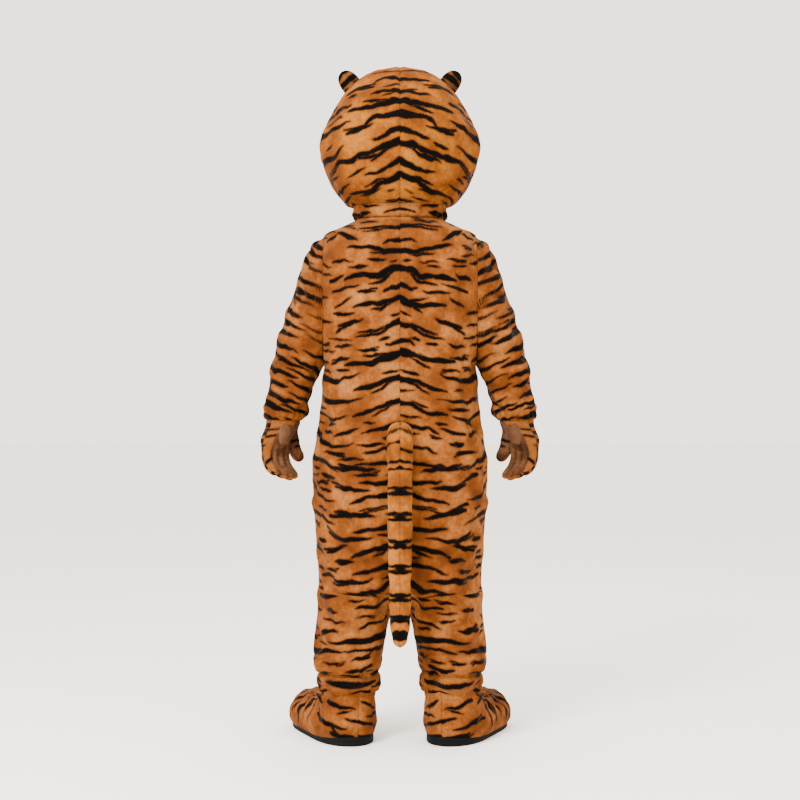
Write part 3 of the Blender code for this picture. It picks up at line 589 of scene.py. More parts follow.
suitSettings = {
    "power": 2.4,
    "edge": (0.214, 1.4225, 1.05, 0.11),  # the armhole's place, top, foot and depth
    "seat": 0.53,
    "crotch": 0.418,
    "torso": (  # height, half the width, and the depths behind and in front
        (1.476, 0.124, 0.112, 0.108), (1.458, 0.124, 0.112, 0.108), (1.45, 0.136, 0.124, 0.118),
        (1.439, 0.161, 0.138, 0.13), (1.43, 0.186, 0.148, 0.14), (1.4225, 0.214, 0.154, 0.146),
        (1.415, 0.214, 0.158, 0.151), (1.398, 0.214, 0.164, 0.158), (1.36, 0.214, 0.169, 0.167),
        (1.305, 0.214, 0.172, 0.174), (1.236, 0.214, 0.171, 0.179), (1.167, 0.214, 0.168, 0.182),
        (1.05, 0.214, 0.164, 0.182), (1.016, 0.216, 0.164, 0.182), (0.898, 0.227, 0.1715, 0.184),
        (0.83, 0.238, 0.1715, 0.186), (0.762, 0.247, 0.178, 0.187), (0.61, 0.239, 0.173, 0.176),
        (0.53, 0.2345, 0.162, 0.164), (0.48, 0.2315, 0.153, 0.154), (0.445, 0.23, 0.143, 0.144),
        (0.418, 0.2295, 0.135, 0.135),
    ),
    "leg": (  # height, outer edge, inner edge and depth
        (0.418, 0.2295, 0.0, 0.135), (0.396, 0.2297, 0.011, 0.133), (0.35, 0.2335, 0.0265, 0.128),
        (0.3, 0.2395, 0.038, 0.123), (0.24, 0.2455, 0.047, 0.118), (0.218, 0.244, 0.05, 0.115),
        (0.202, 0.2385, 0.0545, 0.109), (0.189, 0.2305, 0.058, 0.102), (0.175, 0.2335, 0.053, 0.105),
        (0.159, 0.2345, 0.053, 0.1055), (0.147, 0.2315, 0.057, 0.1), (0.138, 0.2284, 0.0601, 0.0945),
    ),
    "row": 0.0042,
    "columns": 76,
    "middle": (0.1, 0.0),
    "soft": (0.055, 3, 0.0046),  # size, seed and height of the plush's bumps
    "calm": (0.03, 0.8, 1.36, 1.415),  # the bumps fade near a seam, and by a share between two heights
    "folds": (1.7, 1.5),  # how strongly the body's and the legs' creases show
    "groove": (0.0022, 0.0045),
    "armhole": (0.003, 0.018),
    "hem": (0.148, 0.001),  # below this height the cloth stands out no more than this
    "collar": (1.462, -0.0005),  # above this height it lies flat
}


def suitGrid(spec, facing):
    # Points of one back or front, from the collar down to the leg's hem, and from the centre outwards.
    power, (edgeX, edgeTop, edgeLow, edgeDepth) = spec["power"], spec["edge"]
    torso, leg = np.array(spec["torso"]), np.array(spec["leg"])
    shares = np.linspace(0, 1, spec["columns"])
    depthColumn = 2 if facing > 0 else 3
    high = np.arange(torso[0, 0], spec["seat"], -spec["row"])
    high = np.union1d(high, (spec["seat"], edgeTop, edgeLow, edgeLow + 0.0008, edgeTop - 0.0008))[::-1]
    rows = []
    for z in high:
        width = float(smooth(torso[:, 0], torso[:, 1], z))
        depth = float(smooth(torso[:, 0], torso[:, depthColumn], z))
        end = math.pi / 2
        # Beside the armhole the panel ends where the sleeve starts.
        if edgeLow < z < edgeTop:
            middle, half = (edgeTop + edgeLow) / 2, (edgeTop - edgeLow) / 2
            rest = 1 - (edgeDepth * math.sqrt(max(1 - ((z - middle) / half) ** 2, 0)) / depth) ** power
            width, end = edgeX / rest ** (1 / power), math.asin(math.sqrt(rest))
        angle = shares * end
        y = depth * np.maximum(np.cos(angle), 0) ** (2 / power)
        rows.append(np.stack([width * np.sin(angle) ** (2 / power), y, np.full_like(angle, z)], axis=-1))
    # Between seat and crotch the outline draws in round each leg.
    for t in np.linspace(1, 0, 34)[1:]:
        z = spec["crotch"] + (spec["seat"] - spec["crotch"]) * t * t
        width = float(smooth(torso[:, 0], torso[:, 1], z))
        depth = float(smooth(torso[:, 0], torso[:, depthColumn], z))
        share = t * t
        bend = 2 + (power - 2) * share
        middle = width / 2 * (1 - share)
        half = width - middle
        angle = math.acos((middle / half) ** (bend / 2)) * (1 - shares) + math.pi * shares
        x = middle - half * np.sign(np.cos(angle)) * np.abs(np.cos(angle)) ** (2 / bend)
        y = depth * np.maximum(np.sin(angle), 0) ** (2 / bend)
        rows.append(np.stack([x, y, np.full_like(angle, z)], axis=-1))
    for z in np.arange(spec["crotch"] - spec["row"], leg[-1, 0] - 0.001, -spec["row"] * 0.85):
        outer, inner, depth = (float(smooth(leg[:, 0], leg[:, k], z)) for k in (1, 2, 3))
        angle = math.pi * shares
        x = (outer + inner) / 2 - (outer - inner) / 2 * np.cos(angle)
        rows.append(np.stack([x, depth * np.sin(angle), np.full_like(angle, z)], axis=-1))
    grid = np.array(rows)
    grid[..., 1] *= facing
    return grid


def outward(grid, normals, middle):
    # Normals turned away from a vertical middle line.
    away = grid[..., :2] - np.asarray(middle)
    sign = np.sign((normals[..., :2] * away).sum(axis=-1).sum())
    return normals * (sign if sign else 1)


def crease(across, down, folds):
    # Folds given one by one: rows of start, end, height and width, in the piece's own distances.
    lift = np.zeros(across.shape)
    for x1, y1, x2, y2, height, width in folds:
        step = np.array([x2 - x1, y2 - y1])
        share = np.clip(((across - x1) * step[0] + (down - y1) * step[1]) / (step @ step), 0, 1)
        away = np.hypot(across - x1 - share * step[0], down - y1 - share * step[1])
        fade = np.sin(math.pi * np.clip(share * 0.9 + 0.05, 0, 1)) ** 0.6
        lift += height * fade * trough(away, width)
    return lift


# Stripes as they are seen from behind, in millimetres: kind, width, then points as pairs of a distance
# beside the centre seam and a height above the floor
torsoStripes = (
    ("twin", 13, 0, 1443, 46, 1444, 115, 1435),
    ("arm", 11, 0, 1406, 21, 1404, 46, 1399),
    ("split", 14, 0, 1375, 39, 1368, 77, 1377, 145, 1385),
    ("dash", 7, 5, 1350, 30, 1346),
    ("split", 20, 0, 1329, 33, 1319, 65, 1300, 115, 1302, 159, 1291),
    ("arm", 13, 0, 1280, 18, 1275, 46, 1264),
    ("split", 16, 0, 1244, 33, 1228, 77, 1223, 130, 1216),
    ("dash", 8, 33, 1218, 63, 1203),
    ("dash", 8, 1, 1200, 29, 1193),
    ("twin", 16, 0, 1172, 33, 1162, 71, 1143, 126, 1131),
    ("dash", 8, 26, 1129, 60, 1122),
    ("arm", 12, 0, 1119, 21, 1116, 43, 1107),
    ("split", 19, 0, 1087, 36, 1079, 83, 1066, 152, 1056),
    ("dash", 9, 1, 1039, 55, 1025),
    ("split", 16, 0, 1015, 39, 1007, 77, 987, 130, 978),
    ("split", 15, 0, 949, 33, 943, 71, 923, 137, 909),
    ("side", 8, 246, 1333, 190, 1345, 133, 1349),
    ("side", 11, 246, 1277, 196, 1291, 159, 1307),
    ("side", 10, 246, 1247, 190, 1260, 115, 1281),
    ("side", 8, 246, 1205, 177, 1214, 137, 1245),
    ("fork", 13, 246, 1148, 184, 1153, 102, 1182),
    ("side", 9, 246, 1122, 174, 1114),
    ("dash", 9, 187, 1101, 133, 1108),
    ("fork", 11, 246, 1076, 190, 1067, 143, 1071),
    ("side", 9, 246, 1053, 165, 1047),
    ("fork", 12, 227, 1017, 180, 1009, 112, 1025),
    ("fork", 11, 227, 967, 177, 946, 105, 957),
    ("side", 11, 227, 926, 187, 898, 155, 911),
    ("dash", 10, 214, 888, 180, 889),
    ("side", 9, 246, 1399, 209, 1402, 171, 1424),
    ("dash", 14, 174, 1430, 118, 1406),
)
hipStripes = (
    ("arm", 14, 0, 886, 64, 871, 108, 859),
    ("arm", 12, 0, 824, 58, 813, 102, 804),
    ("arm", 13, 0, 782, 69, 772, 129, 771),
    ("fork", 14, 187, 780, 143, 763, 63, 755),
    ("arm", 16, 0, 718, 64, 719, 116, 725),
    ("fork", 13, 195, 715, 143, 701, 82, 700),
    ("arm", 15, 0, 692, 69, 677, 138, 663),
    ("fork", 15, 192, 643, 143, 633, 67, 621),
    ("twin", 10, 0, 655, 69, 645, 114, 637),
    ("arm", 16, 0, 599, 69, 586, 134, 582),
    ("fork", 12, 208, 584, 160, 558, 71, 563),
    ("split", 16, 0, 554, 69, 528, 143, 507),
    ("dash", 12, 187, 502, 134, 499),
    ("arm", 14, 0, 494, 69, 477, 131, 463),
    ("fork", 13, 193, 452, 143, 440, 75, 446),
    ("arm", 14, 0, 446, 69, 418, 120, 401),
    ("side", 13, 244, 881, 177, 823, 129, 827),
    ("dash", 11, 182, 851, 112, 875),
    ("fork", 11, 255, 807, 213, 776, 171, 751),
    ("dash", 13, 223, 746, 181, 728),
    ("fork", 11, 255, 720, 222, 683, 189, 666),
    ("dash", 10, 230, 656, 204, 649),
    ("fork", 11, 255, 643, 216, 618, 175, 604),
    ("side", 11, 255, 582, 222, 565, 205, 559),
    ("fork", 12, 255, 537, 205, 528, 148, 543),
    ("side", 11, 255, 480, 222, 463, 182, 452),
    ("side", 12, 255, 418, 222, 407, 177, 401),
)
legStripes = (
    ("arm", 14, 33, 390, 75, 373, 123, 365),
    ("side", 12, 255, 376, 205, 362, 171, 359),
    ("arm", 13, 33, 342, 69, 322, 116, 313),
    ("fork", 12, 255, 317, 216, 307, 172, 303),
    ("fork", 15, 33, 294, 109, 274, 195, 270),
    ("fork", 14, 255, 244, 210, 241, 165, 241),
    ("arm", 13, 33, 265, 86, 249, 157, 242),
    ("arm", 14, 33, 226, 86, 199, 154, 189),
    ("side", 12, 255, 198, 227, 188, 191, 184),
    ("dash", 18, 66, 164, 103, 150, 154, 147, 205, 160),
    ("side", 12, 255, 147, 227, 131, 192, 120),
    ("arm", 13, 41, 136, 86, 116, 140, 113),
)


def suitStrokes(grid, across, height, facing, side):
    # A front repeats the back's stripes a little lower.
    source = np.random.RandomState(11 + (facing > 0) * 7 + (side > 0) * 3)
    strokes = []
    table = inMetres(torsoStripes + hipStripes + legStripes)
    if facing < 0:
        drop = 0.012
        table = [(kind, width, [(u, v - drop) for u, v in points]) for kind, width, points in table]
    addSeenStripes(strokes, source, table, grid, across, height, facing)
    addDashes(strokes, source, across, height, 560, (-0.14, 0.18), 0.008)
    return strokeField(across, height, strokes)


# Folds: start, end, height and width, from the centre line outwards and up from the floor
legCreases = (
    (0.0, 0.189, 0.4, 0.189, -0.003, 0.005), (0.0, 0.205, 0.4, 0.205, 0.0018, 0.007),
    (0.04, 0.345, 0.16, 0.318, -0.0026, 0.011), (0.34, 0.33, 0.22, 0.3, 0.0024, 0.012),
    (0.3, 0.405, 0.16, 0.37, -0.0026, 0.013), (0.06, 0.29, 0.2, 0.275, 0.0022, 0.014),
    (0.02, 0.196, 0.36, 0.192, -0.0035, 0.006), (0.05, 0.176, 0.3, 0.172, 0.0025, 0.01),
    (0.1, 0.225, 0.26, 0.218, 0.003, 0.012), (0.22, 0.232, 0.36, 0.24, -0.0028, 0.007),
    (0.0, 0.236, 0.12, 0.222, -0.0025, 0.007), (0.12, 0.26, 0.3, 0.25, 0.0022, 0.014),
    (0.02, 0.15, 0.14, 0.158, -0.0022, 0.005), (0.2, 0.156, 0.34, 0.15, -0.0022, 0.005),
)
bodyCreases = (
    (0.0, 1.06, 0.12, 1.045, -0.002, 0.012), (0.03, 0.985, 0.2, 0.955, 0.0022, 0.018),
    (0.24, 1.3, 0.16, 1.24, 0.0022, 0.016), (0.2, 1.2, 0.08, 1.17, -0.0016, 0.016),
    (0.3, 0.88, 0.18, 0.83, -0.0026, 0.014), (0.1, 0.83, 0.26, 0.79, 0.0022, 0.018),
    (0.33, 0.64, 0.2, 0.57, -0.0028, 0.015), (0.34, 0.69, 0.24, 0.64, 0.0026, 0.014),
    (0.02, 1.395, 0.17, 1.352, 0.0022, 0.018), (0.24, 1.13, 0.12, 1.08, -0.0018, 0.014),
    (0.23, 1.06, 0.14, 1.02, 0.0022, 0.016), (0.3, 0.76, 0.12, 0.73, -0.0016, 0.016),
    (0.04, 0.62, 0.22, 0.56, 0.002, 0.02), (0.03, 0.54, 0.16, 0.47, -0.0022, 0.012),
    (0.32, 0.5, 0.16, 0.47, -0.0022, 0.014), (0.05, 0.45, 0.2, 0.43, 0.0022, 0.014),
)


shoulderSeam = {"depth": 0.0085, "from": 1.384, "full": 1.418, "x": 0.217, "width": 0.019}


def shoulderDip(x, height):
    # The padded seam sinks where the sleeve meets the suit.
    spec = shoulderSeam
    share = smoothStep(height, spec["from"], spec["full"])
    return spec["depth"] * share * trough(x - spec["x"], spec["width"])


def addSuitPanel(spec, facing, side):
    grid = suitGrid(spec, facing)
    across, height = arcs(grid, 1), grid[..., 2]
    normals = outward(grid, gridNormals(grid), spec["middle"])
    inLeg = height < spec["crotch"]
    stripe = suitStrokes(grid, across, height, facing, side)
    outer = across[:, -1:] - across
    edge = np.minimum(across, outer)
    near, share, low, high = spec["calm"]
    away = (1 - trough(edge, near)) * (1 - share * smoothStep(height, low, high))
    size, seed, rise = spec["soft"]
    lift = waves(grid, size, seed) * rise * away
    bodyFolds, legFolds = spec["folds"]
    lift += (crease(across, height, bodyCreases) * away * bodyFolds
             + crease(across, height, legCreases) * legFolds)
    deep, wide = spec["groove"]
    lift -= deep * trough(edge, wide)
    seamX, top, low = spec["edge"][:3]
    besideArm = 1 - np.clip((2 * height - top - low) / (top - low), -1, 1) ** 2
    deep, wide = spec["armhole"]
    lift -= deep * besideArm * trough(outer, wide)
    hem, most = spec["hem"]
    lift = np.where(height < hem, np.minimum(lift, most), lift)
    collar, flat = spec["collar"]
    lift[height > collar] = flat
    moved = grid + normals * lift[..., None]
    moved[..., 2] -= shoulderDip(moved[..., 0], moved[..., 2])
    moved[:, 0, 0] = np.where(inLeg[:, 0], moved[:, 0, 0], 0.0)
    moved[:, -1, 0] = np.where(besideArm[:, -1] > 0, seamX - 0.0001, moved[:, -1, 0])
    half = f"{'back' if facing > 0 else 'front'}_{sideName(side)}"
    piece = meshPiece(f"suit_{half}", moved, plush, side, stripe=stripe, seam=edge)
    declare(piece, [f"body_{half}"], moved)


for facing in (1, -1):
    for side in (1, -1):
        addSuitPanel(suitSettings, facing, side)
print("suit ready")


# Sleeves

sleeveSettings = {
    "rings": (  # the outer line's place and height, the inner line's, and half the depth
        (0.214, 1.4225, 0.214, 1.05, 0.11), (0.229, 1.4085, 0.216, 1.047, 0.1085),
        (0.245, 1.388, 0.218, 1.044, 0.106), (0.26, 1.356, 0.2205, 1.04, 0.102),
        (0.295, 1.265, 0.2275, 1.028, 0.091), (0.318, 1.202, 0.232, 1.018, 0.085),
        (0.339, 1.138, 0.238, 1.006, 0.08), (0.369, 1.013, 0.251, 0.971, 0.073),
        (0.377, 0.976, 0.2565, 0.956, 0.071), (0.38, 0.953, 0.2585, 0.944, 0.0675),
        (0.3885, 0.932, 0.259, 0.928, 0.07), (0.387, 0.914, 0.265, 0.911, 0.064),
        (0.3815, 0.9, 0.2775, 0.896, 0.0522),
    ),
    "rows": 150,
    "columns": 132,
    "creases": (  # from the outer line, and down from the shoulder
        (0.03, 0.06, 0.16, 0.13, -0.005, 0.012), (0.05, 0.1, 0.2, 0.16, 0.0045, 0.013),
        (0.02, 0.13, 0.17, 0.19, -0.0045, 0.011), (0.1, 0.19, 0.22, 0.22, 0.0035, 0.012),
        (0.04, 0.24, 0.2, 0.28, -0.0045, 0.01), (0.02, 0.27, 0.18, 0.31, 0.004, 0.012),
        (0.0, 0.33, 0.15, 0.36, -0.0045, 0.009), (0.06, 0.355, 0.22, 0.385, 0.004, 0.01),
        (0.0, 0.4, 0.14, 0.42, -0.004, 0.008), (0.08, 0.425, 0.2, 0.44, 0.0035, 0.009),
        (-0.16, 0.09, -0.02, 0.14, -0.0045, 0.012), (-0.2, 0.17, -0.05, 0.2, 0.004, 0.013),
        (-0.18, 0.25, -0.03, 0.29, -0.0045, 0.011), (-0.16, 0.33, -0.02, 0.37, 0.004, 0.011),
        (-0.18, 0.4, -0.03, 0.43, -0.004, 0.009),
    ),
    "top": (0.214, 0.0, 1.39),
    "axis": (0.29, 0.0, -0.957),
    "sideways": (0.957, 0.0, 0.29),
    "girth": 0.082,
    "inner": 0.262,  # the inner strokes start here, just past the underarm
    "underarm": 0.257,
    "nearest": 0.21415,  # nothing of the sleeve is nearer to the middle than this
    "stripes": (-0.05, 0.53),
    "gathers": (0.0016, 19, 0.018, 0.016),  # height, how many, how far up the cuff and how wide
}


def sleeveGrid(spec):
    rings = np.array(spec["rings"])
    middle = (rings[:, :2] + rings[:, 2:4]) / 2
    run = running(np.linalg.norm(np.diff(rings[:, :2], axis=0), axis=1)
                  + np.linalg.norm(np.diff(middle, axis=0), axis=1))
    at = np.linspace(0, run[-1], spec["rows"])
    values = np.stack([smooth(run, rings[:, k], at) for k in range(5)], axis=-1)
    angle = np.linspace(0, 2 * math.pi, spec["columns"], endpoint=False)
    cosine, sine = np.cos(angle), np.sin(angle)
    centre = (values[:, :2] + values[:, 2:4]) / 2
    reach = (values[:, :2] - values[:, 2:4]) / 2
    x = centre[:, :1] + reach[:, :1] * cosine
    z = centre[:, 1:] + reach[:, 1:] * cosine
    y = values[:, 4:5] * sine
    return np.stack([x, y, z], axis=-1)


def sleeveStrokes(spec, side):
    # Strokes fall from the outer line and rise to meet them from the inner one, before and behind.
    source = np.random.RandomState(71 + (side > 0) * 5)
    strokes = []
    inner = spec["inner"]
    place, last = spec["stripes"]
    while place < last:
        slope = 0.26 - 0.46 * max(place, 0)
        for facing in (1, -1):
            begin, reach = source.uniform(-0.012, 0.02), source.uniform(0.12, 0.17)
            low = place + source.uniform(-0.004, 0.004)
            middle = (begin + reach * 0.5, low + reach * slope * 0.62)
            line = [(begin, low), middle, (begin + reach, low + reach * slope)]
            kind = ("fork", "split", "side", "fork")[source.randint(4)]
            width = source.uniform(0.012, 0.016)
            addStripe(strokes, source, kind, width, [(facing * x, z) for x, z in line])
            reach = source.uniform(0.11, 0.155)
            low = place + 0.017 + inner * slope + source.uniform(-0.004, 0.004)
            middle = (inner - reach * 0.5, low - reach * slope * 0.4)
            line = [(inner, low), middle, (inner - reach, low - reach * slope)]
            kind = ("side", "fork", "side")[source.randint(3)]
            width = source.uniform(0.009, 0.013)
            addStripe(strokes, source, kind, width, [(facing * x, z) for x, z in line])
        place += source.uniform(0.032, 0.037)
    return strokes


def addSleeve(spec, side):
    grid = sleeveGrid(spec)
    normals = gridNormals(grid, closed=True)
    normals = turned(normals, normals[60, 0, 0])
    local = grid - np.array(spec["top"])
    down = local @ np.array(spec["axis"])
    beside = local @ np.array(spec["sideways"])
    turn = np.arctan2(grid[..., 1], beside - beside.mean(axis=1, keepdims=True))
    across = turn * spec["girth"]
    stripe = strokeField(across, down, sleeveStrokes(spec, side))
    run = arcs(grid, 0)
    up = run[-1:] - run
    fade = smoothStep(run, 0.004, 0.05) * smoothStep(up, 0.004, 0.03)
    lift = waves(grid, 0.046, 5) * 0.0042 * fade
    lift += crease(across, down, spec["creases"]) * fade * 2.5
    height, count, place, width = spec["gathers"]
    lift += height * np.cos(turn * count + waves(grid, 0.1, 6)) * trough(up - place, width)
    lift -= (0.0006 + 0.0046 * np.sin(turn) ** 2) * trough(run, 0.016)
    lift[-1] = 0
    moved = grid + normals * lift[..., None]
    moved[..., 2] -= shoulderDip(moved[..., 0], moved[..., 2])
    moved[..., 0] = np.maximum(moved[..., 0], spec["nearest"])
    seam = np.minimum(run, np.abs(across + spec["underarm"]) + 0.004)
    label = sideName(side)
    piece = meshPiece(f"sleeve_cloth_{label}", moved, plush, side, closed=True, stripe=stripe, seam=seam)
    declare(piece, [f"sleeve_{label}"], moved, closed=True)


for side in (1, -1):
    addSleeve(sleeveSettings, side)
print("sleeves ready")


# Head: two backs and a face over the coronal seam

headSettings = {
    "power": 2.1,
    "sections": (  # height, half the width, and the depths behind and in front
        (1.89, 0.0, 0.0, 0.0), (1.887, 0.04, 0.038, 0.042), (1.878, 0.074, 0.071, 0.077),
        (1.844, 0.128, 0.124, 0.133), (1.815, 0.157, 0.153, 0.162), (1.78, 0.18, 0.177, 0.186),
        (1.74, 0.2005, 0.197, 0.207), (1.695, 0.218, 0.213, 0.22), (1.655, 0.224, 0.218, 0.224),
        (1.615, 0.2175, 0.214, 0.22), (1.58, 0.205, 0.203, 0.211), (1.55, 0.189, 0.186, 0.197),
        (1.525, 0.168, 0.166, 0.177), (1.507, 0.15, 0.146, 0.155), (1.496, 0.132, 0.125, 0.129),
    ),
    "rows": 130,
    "columns": 84,
    "seams": ((0.0024, 0.0042), (0.0014, 0.004)),  # depth and width down the middle and over the crown
    "light": (  # ovals of lighter fur: middle, half width and half height
        (0.0, 1.575, 0.125, 0.085), (0.082, 1.697, 0.058, 0.066), (0.12, 1.562, 0.07, 0.056),
    ),
    "bare": (0.0, 1.64, 0.115, 0.15),
}


def headGrid(spec, facing):
    table = np.array(spec["sections"])
    depths = table[:, 2 if facing > 0 else 3]
    run = running(np.hypot(np.diff(table[:, 0]), np.diff((table[:, 1] + depths) / 2)))
    at = np.linspace(0, run[-1], spec["rows"])
    z, width = smooth(run, table[:, 0], at), smooth(run, table[:, 1], at)
    depth = smooth(run, depths, at)
    angle = np.linspace(0, math.pi / 2, spec["columns"])
    x = width[:, None] * np.sin(angle) ** (2 / spec["power"])
    y = depth[:, None] * np.maximum(np.cos(angle), 0) ** (2 / spec["power"]) * facing
    return np.stack([x, y, np.broadcast_to(z[:, None], x.shape)], axis=-1), at


# The head's stripes as they are seen from behind, in millimetres
headStripes = (
    ("twin", 8, 0, 1881, 41, 1881, 87, 1874),
    ("arm", 16, 0, 1859, 36, 1862, 80, 1852),
    ("split", 14, 0, 1826, 36, 1821, 82, 1815),
    ("split", 20, 0, 1801, 36, 1794, 82, 1782, 149, 1766),
    ("arm", 20, 0, 1765, 31, 1759, 72, 1750, 104, 1732),
    ("fork", 13, 158, 1702, 123, 1715, 73, 1731),
    ("arm", 16, 0, 1720, 36, 1707, 83, 1689),
    ("split", 19, 0, 1682, 41, 1669, 87, 1646, 144, 1632),
    ("dash", 10, 56, 1647, 123, 1628),
    ("twin", 14, 133, 1632, 169, 1625, 187, 1595, 200, 1567),
    ("arm", 16, 0, 1626, 36, 1613, 97, 1587),
    ("split", 17, 0, 1586, 46, 1573, 92, 1546, 136, 1527),
    ("dash", 10, 54, 1552, 115, 1529),
    ("dash", 10, 134, 1528, 144, 1503),
    ("dash", 5, 15, 1546, 36, 1540),
    ("twin", 13, 0, 1519, 41, 1509, 102, 1490),
    ("fork", 13, 72, 1837, 115, 1831, 162, 1803),
    ("dash", 7, 97, 1870, 144, 1828),
    ("side", 10, 141, 1792, 164, 1778, 185, 1764),
    ("fork", 13, 223, 1667, 195, 1708, 141, 1744),
    ("side", 13, 218, 1613, 194, 1638, 160, 1671),
    ("fork", 11, 205, 1733, 179, 1764, 159, 1778),
    ("side", 12, 177, 1521, 162, 1546, 139, 1564),
    ("dash", 9, 195, 1559, 174, 1585),
)


def headStrokes(grid, across, at, facing, side):
    # Arrows down the middle and long strokes that fall outwards; the face keeps those round its edge.
    source = np.random.RandomState(101 + (facing > 0) * 7 + (side > 0) * 3)
    strokes = []
    table = inMetres(headStripes)
    if facing < 0:
        table = [row for row in table if all(u > 0.12 or v > 1.79 for u, v in row[2])]
    down = np.broadcast_to(at[:, None], across.shape)
    addSeenStripes(strokes, source, table, grid, across, down, facing)
    if facing > 0:
        addDashes(strokes, source, across, down, 140, (0.3, 0.3), 0.011)
    return strokes


def ovalField(x, z, middleX, middleZ, halfX, halfZ):
    # Distance inside an oval patch of lighter fur, about true near its edge.
    share = np.hypot((x - middleX) / halfX, (z - middleZ) / halfZ)
    return (1 - share) * min(halfX, halfZ)


def flatCrown(grid, lift):
    # The crown stays smooth and a little lower, whatever the dents round it do.
    crown = np.exp(-(grid[..., 0] ** 2 + grid[..., 1] ** 2) / 0.0036) * (grid[..., 2] > 1.8)
    return lift * (1 - crown) - 0.0034 * crown


def headShift(grid):
    # Soft dents of the plush over its foam.
    return waves(grid, 0.085, 9) * 0.0023 + waves(grid, 0.03, 10) * 0.0006


def addHeadBack(spec, side):
    grid, at = headGrid(spec, 1)
    across = arcs(grid, 1)
    outer = across[:, -1:] - across
    normals = gridNormals(grid)
    normals = turned(normals, normals[60, 20, 1])
    normals[0] = (0, 0, 1)  # the crown's point
    down = np.broadcast_to(at[:, None], across.shape)
    stripe = strokeField(across, down, headStrokes(grid, across, at, 1, side))
    edge = np.minimum(across, outer)
    calm = smoothStep(at[-1] - down, 0.0, 0.03) * smoothStep(edge, 0.0, 0.02)
    (middleDeep, middleWide), (crownDeep, crownWide) = spec["seams"]
    lift = headShift(grid) * calm - middleDeep * trough(across, middleWide)
    lift -= crownDeep * trough(outer, crownWide)
    moved = grid + normals * flatCrown(grid, lift)[..., None]
    edge[0] = 0.01
    label = sideName(side)
    piece = meshPiece(f"head_cloth_{label}", moved, headPlush, side, stripe=stripe, seam=edge)
    declare(piece, [f"head_back_{label}"], moved)


def addFace(spec):
    # Both halves in one sheet; beside its place, each point carries its stripe, light fur and seam.
    grid, at = headGrid(spec, -1)
    across = arcs(grid, 1)
    down = np.broadcast_to(at[:, None], across.shape)
    x, z = grid[..., 0], grid[..., 2]
    cream = np.max([ovalField(x, z, *oval) for oval in spec["light"]], axis=0)
    cream = np.minimum(cream, -grid[..., 1] - 0.075)
    bare = ovalField(x, z, *spec["bare"]) > 0
    halves = []
    for side in (-1, 1):
        stripe = strokeField(across, down, headStrokes(grid, across, at, -1, side))
        stripe = np.where(bare, unpainted["stripe"], stripe)
        paint = np.stack([stripe, cream, across[:, -1:] - across], axis=-1)
        half = np.concatenate([grid * (side, 1, 1), paint], axis=-1)
        halves.append(half[:, ::-1] if side < 0 else half[:, 1:])
    full = np.concatenate(halves, axis=1)
    points, stripe, cream, seam = full[..., :3], full[..., 3], full[..., 4], full[..., 5].copy()
    normals = gridNormals(points)
    normals = turned(normals, -normals[60, spec["columns"], 1])
    normals[0] = (0, 0, 1)  # the crown's point
    calm = smoothStep(seam, 0.0, 0.02)
    calm *= smoothStep(at[-1] - np.broadcast_to(at[:, None], calm.shape), 0.0, 0.03)
    around = (np.abs(points[..., 0]) > 0.13) | (points[..., 2] > 1.76)
    deep, wide = spec["seams"][1]
    lift = headShift(points) * calm * np.where(around, 1.0, 0.3) - deep * trough(seam, wide)
    moved = points + normals * flatCrown(points, lift)[..., None]
    seam[0] = 0.01
    piece = meshPiece("face_cloth", moved, headPlush, stripe=stripe, seam=seam, cream=cream)
    declare(piece, ["head_face"], moved)


for side in (1, -1):
    addHeadBack(headSettings, side)
addFace(headSettings)


# The neck's stripes: how far round from the middle of the back, and the height, in millimetres
neckStripes = (
    ("arm", 8, 0, 1479, 18, 1474.5, 34, 1469),
    ("fork", 13, 138, 1464, 105, 1469, 70, 1472),
    ("side", 15, 215, 1479, 165, 1472, 120, 1466),
    ("fork", 12, 200, 1466, 170, 1464, 140, 1460),
    ("side", 8, 110, 1493, 80, 1489, 52, 1490.5),
    ("fork", 11, 300, 1470, 260, 1466, 225, 1469),
    ("dash", 9, 330, 1486, 380, 1482),
    ("dash", 10, 235, 1488, 275, 1484),
)


neckSettings = {
    "sections": (  # height, and how far the cloth stands off the collar
        (1.4957, 0.0075), (1.486, 0.0052), (1.473, 0.0085), (1.464, 0.007), (1.459, 0.0033),
    ),
    "rows": 22,
    "columns": 260,
    "power": 2.4,
    "collar": (0.124, 0.112, 0.108),  # half the width, and the depths behind and in front
    "girth": 0.125,
    "gathers": (0.0027, 0.0022),
}


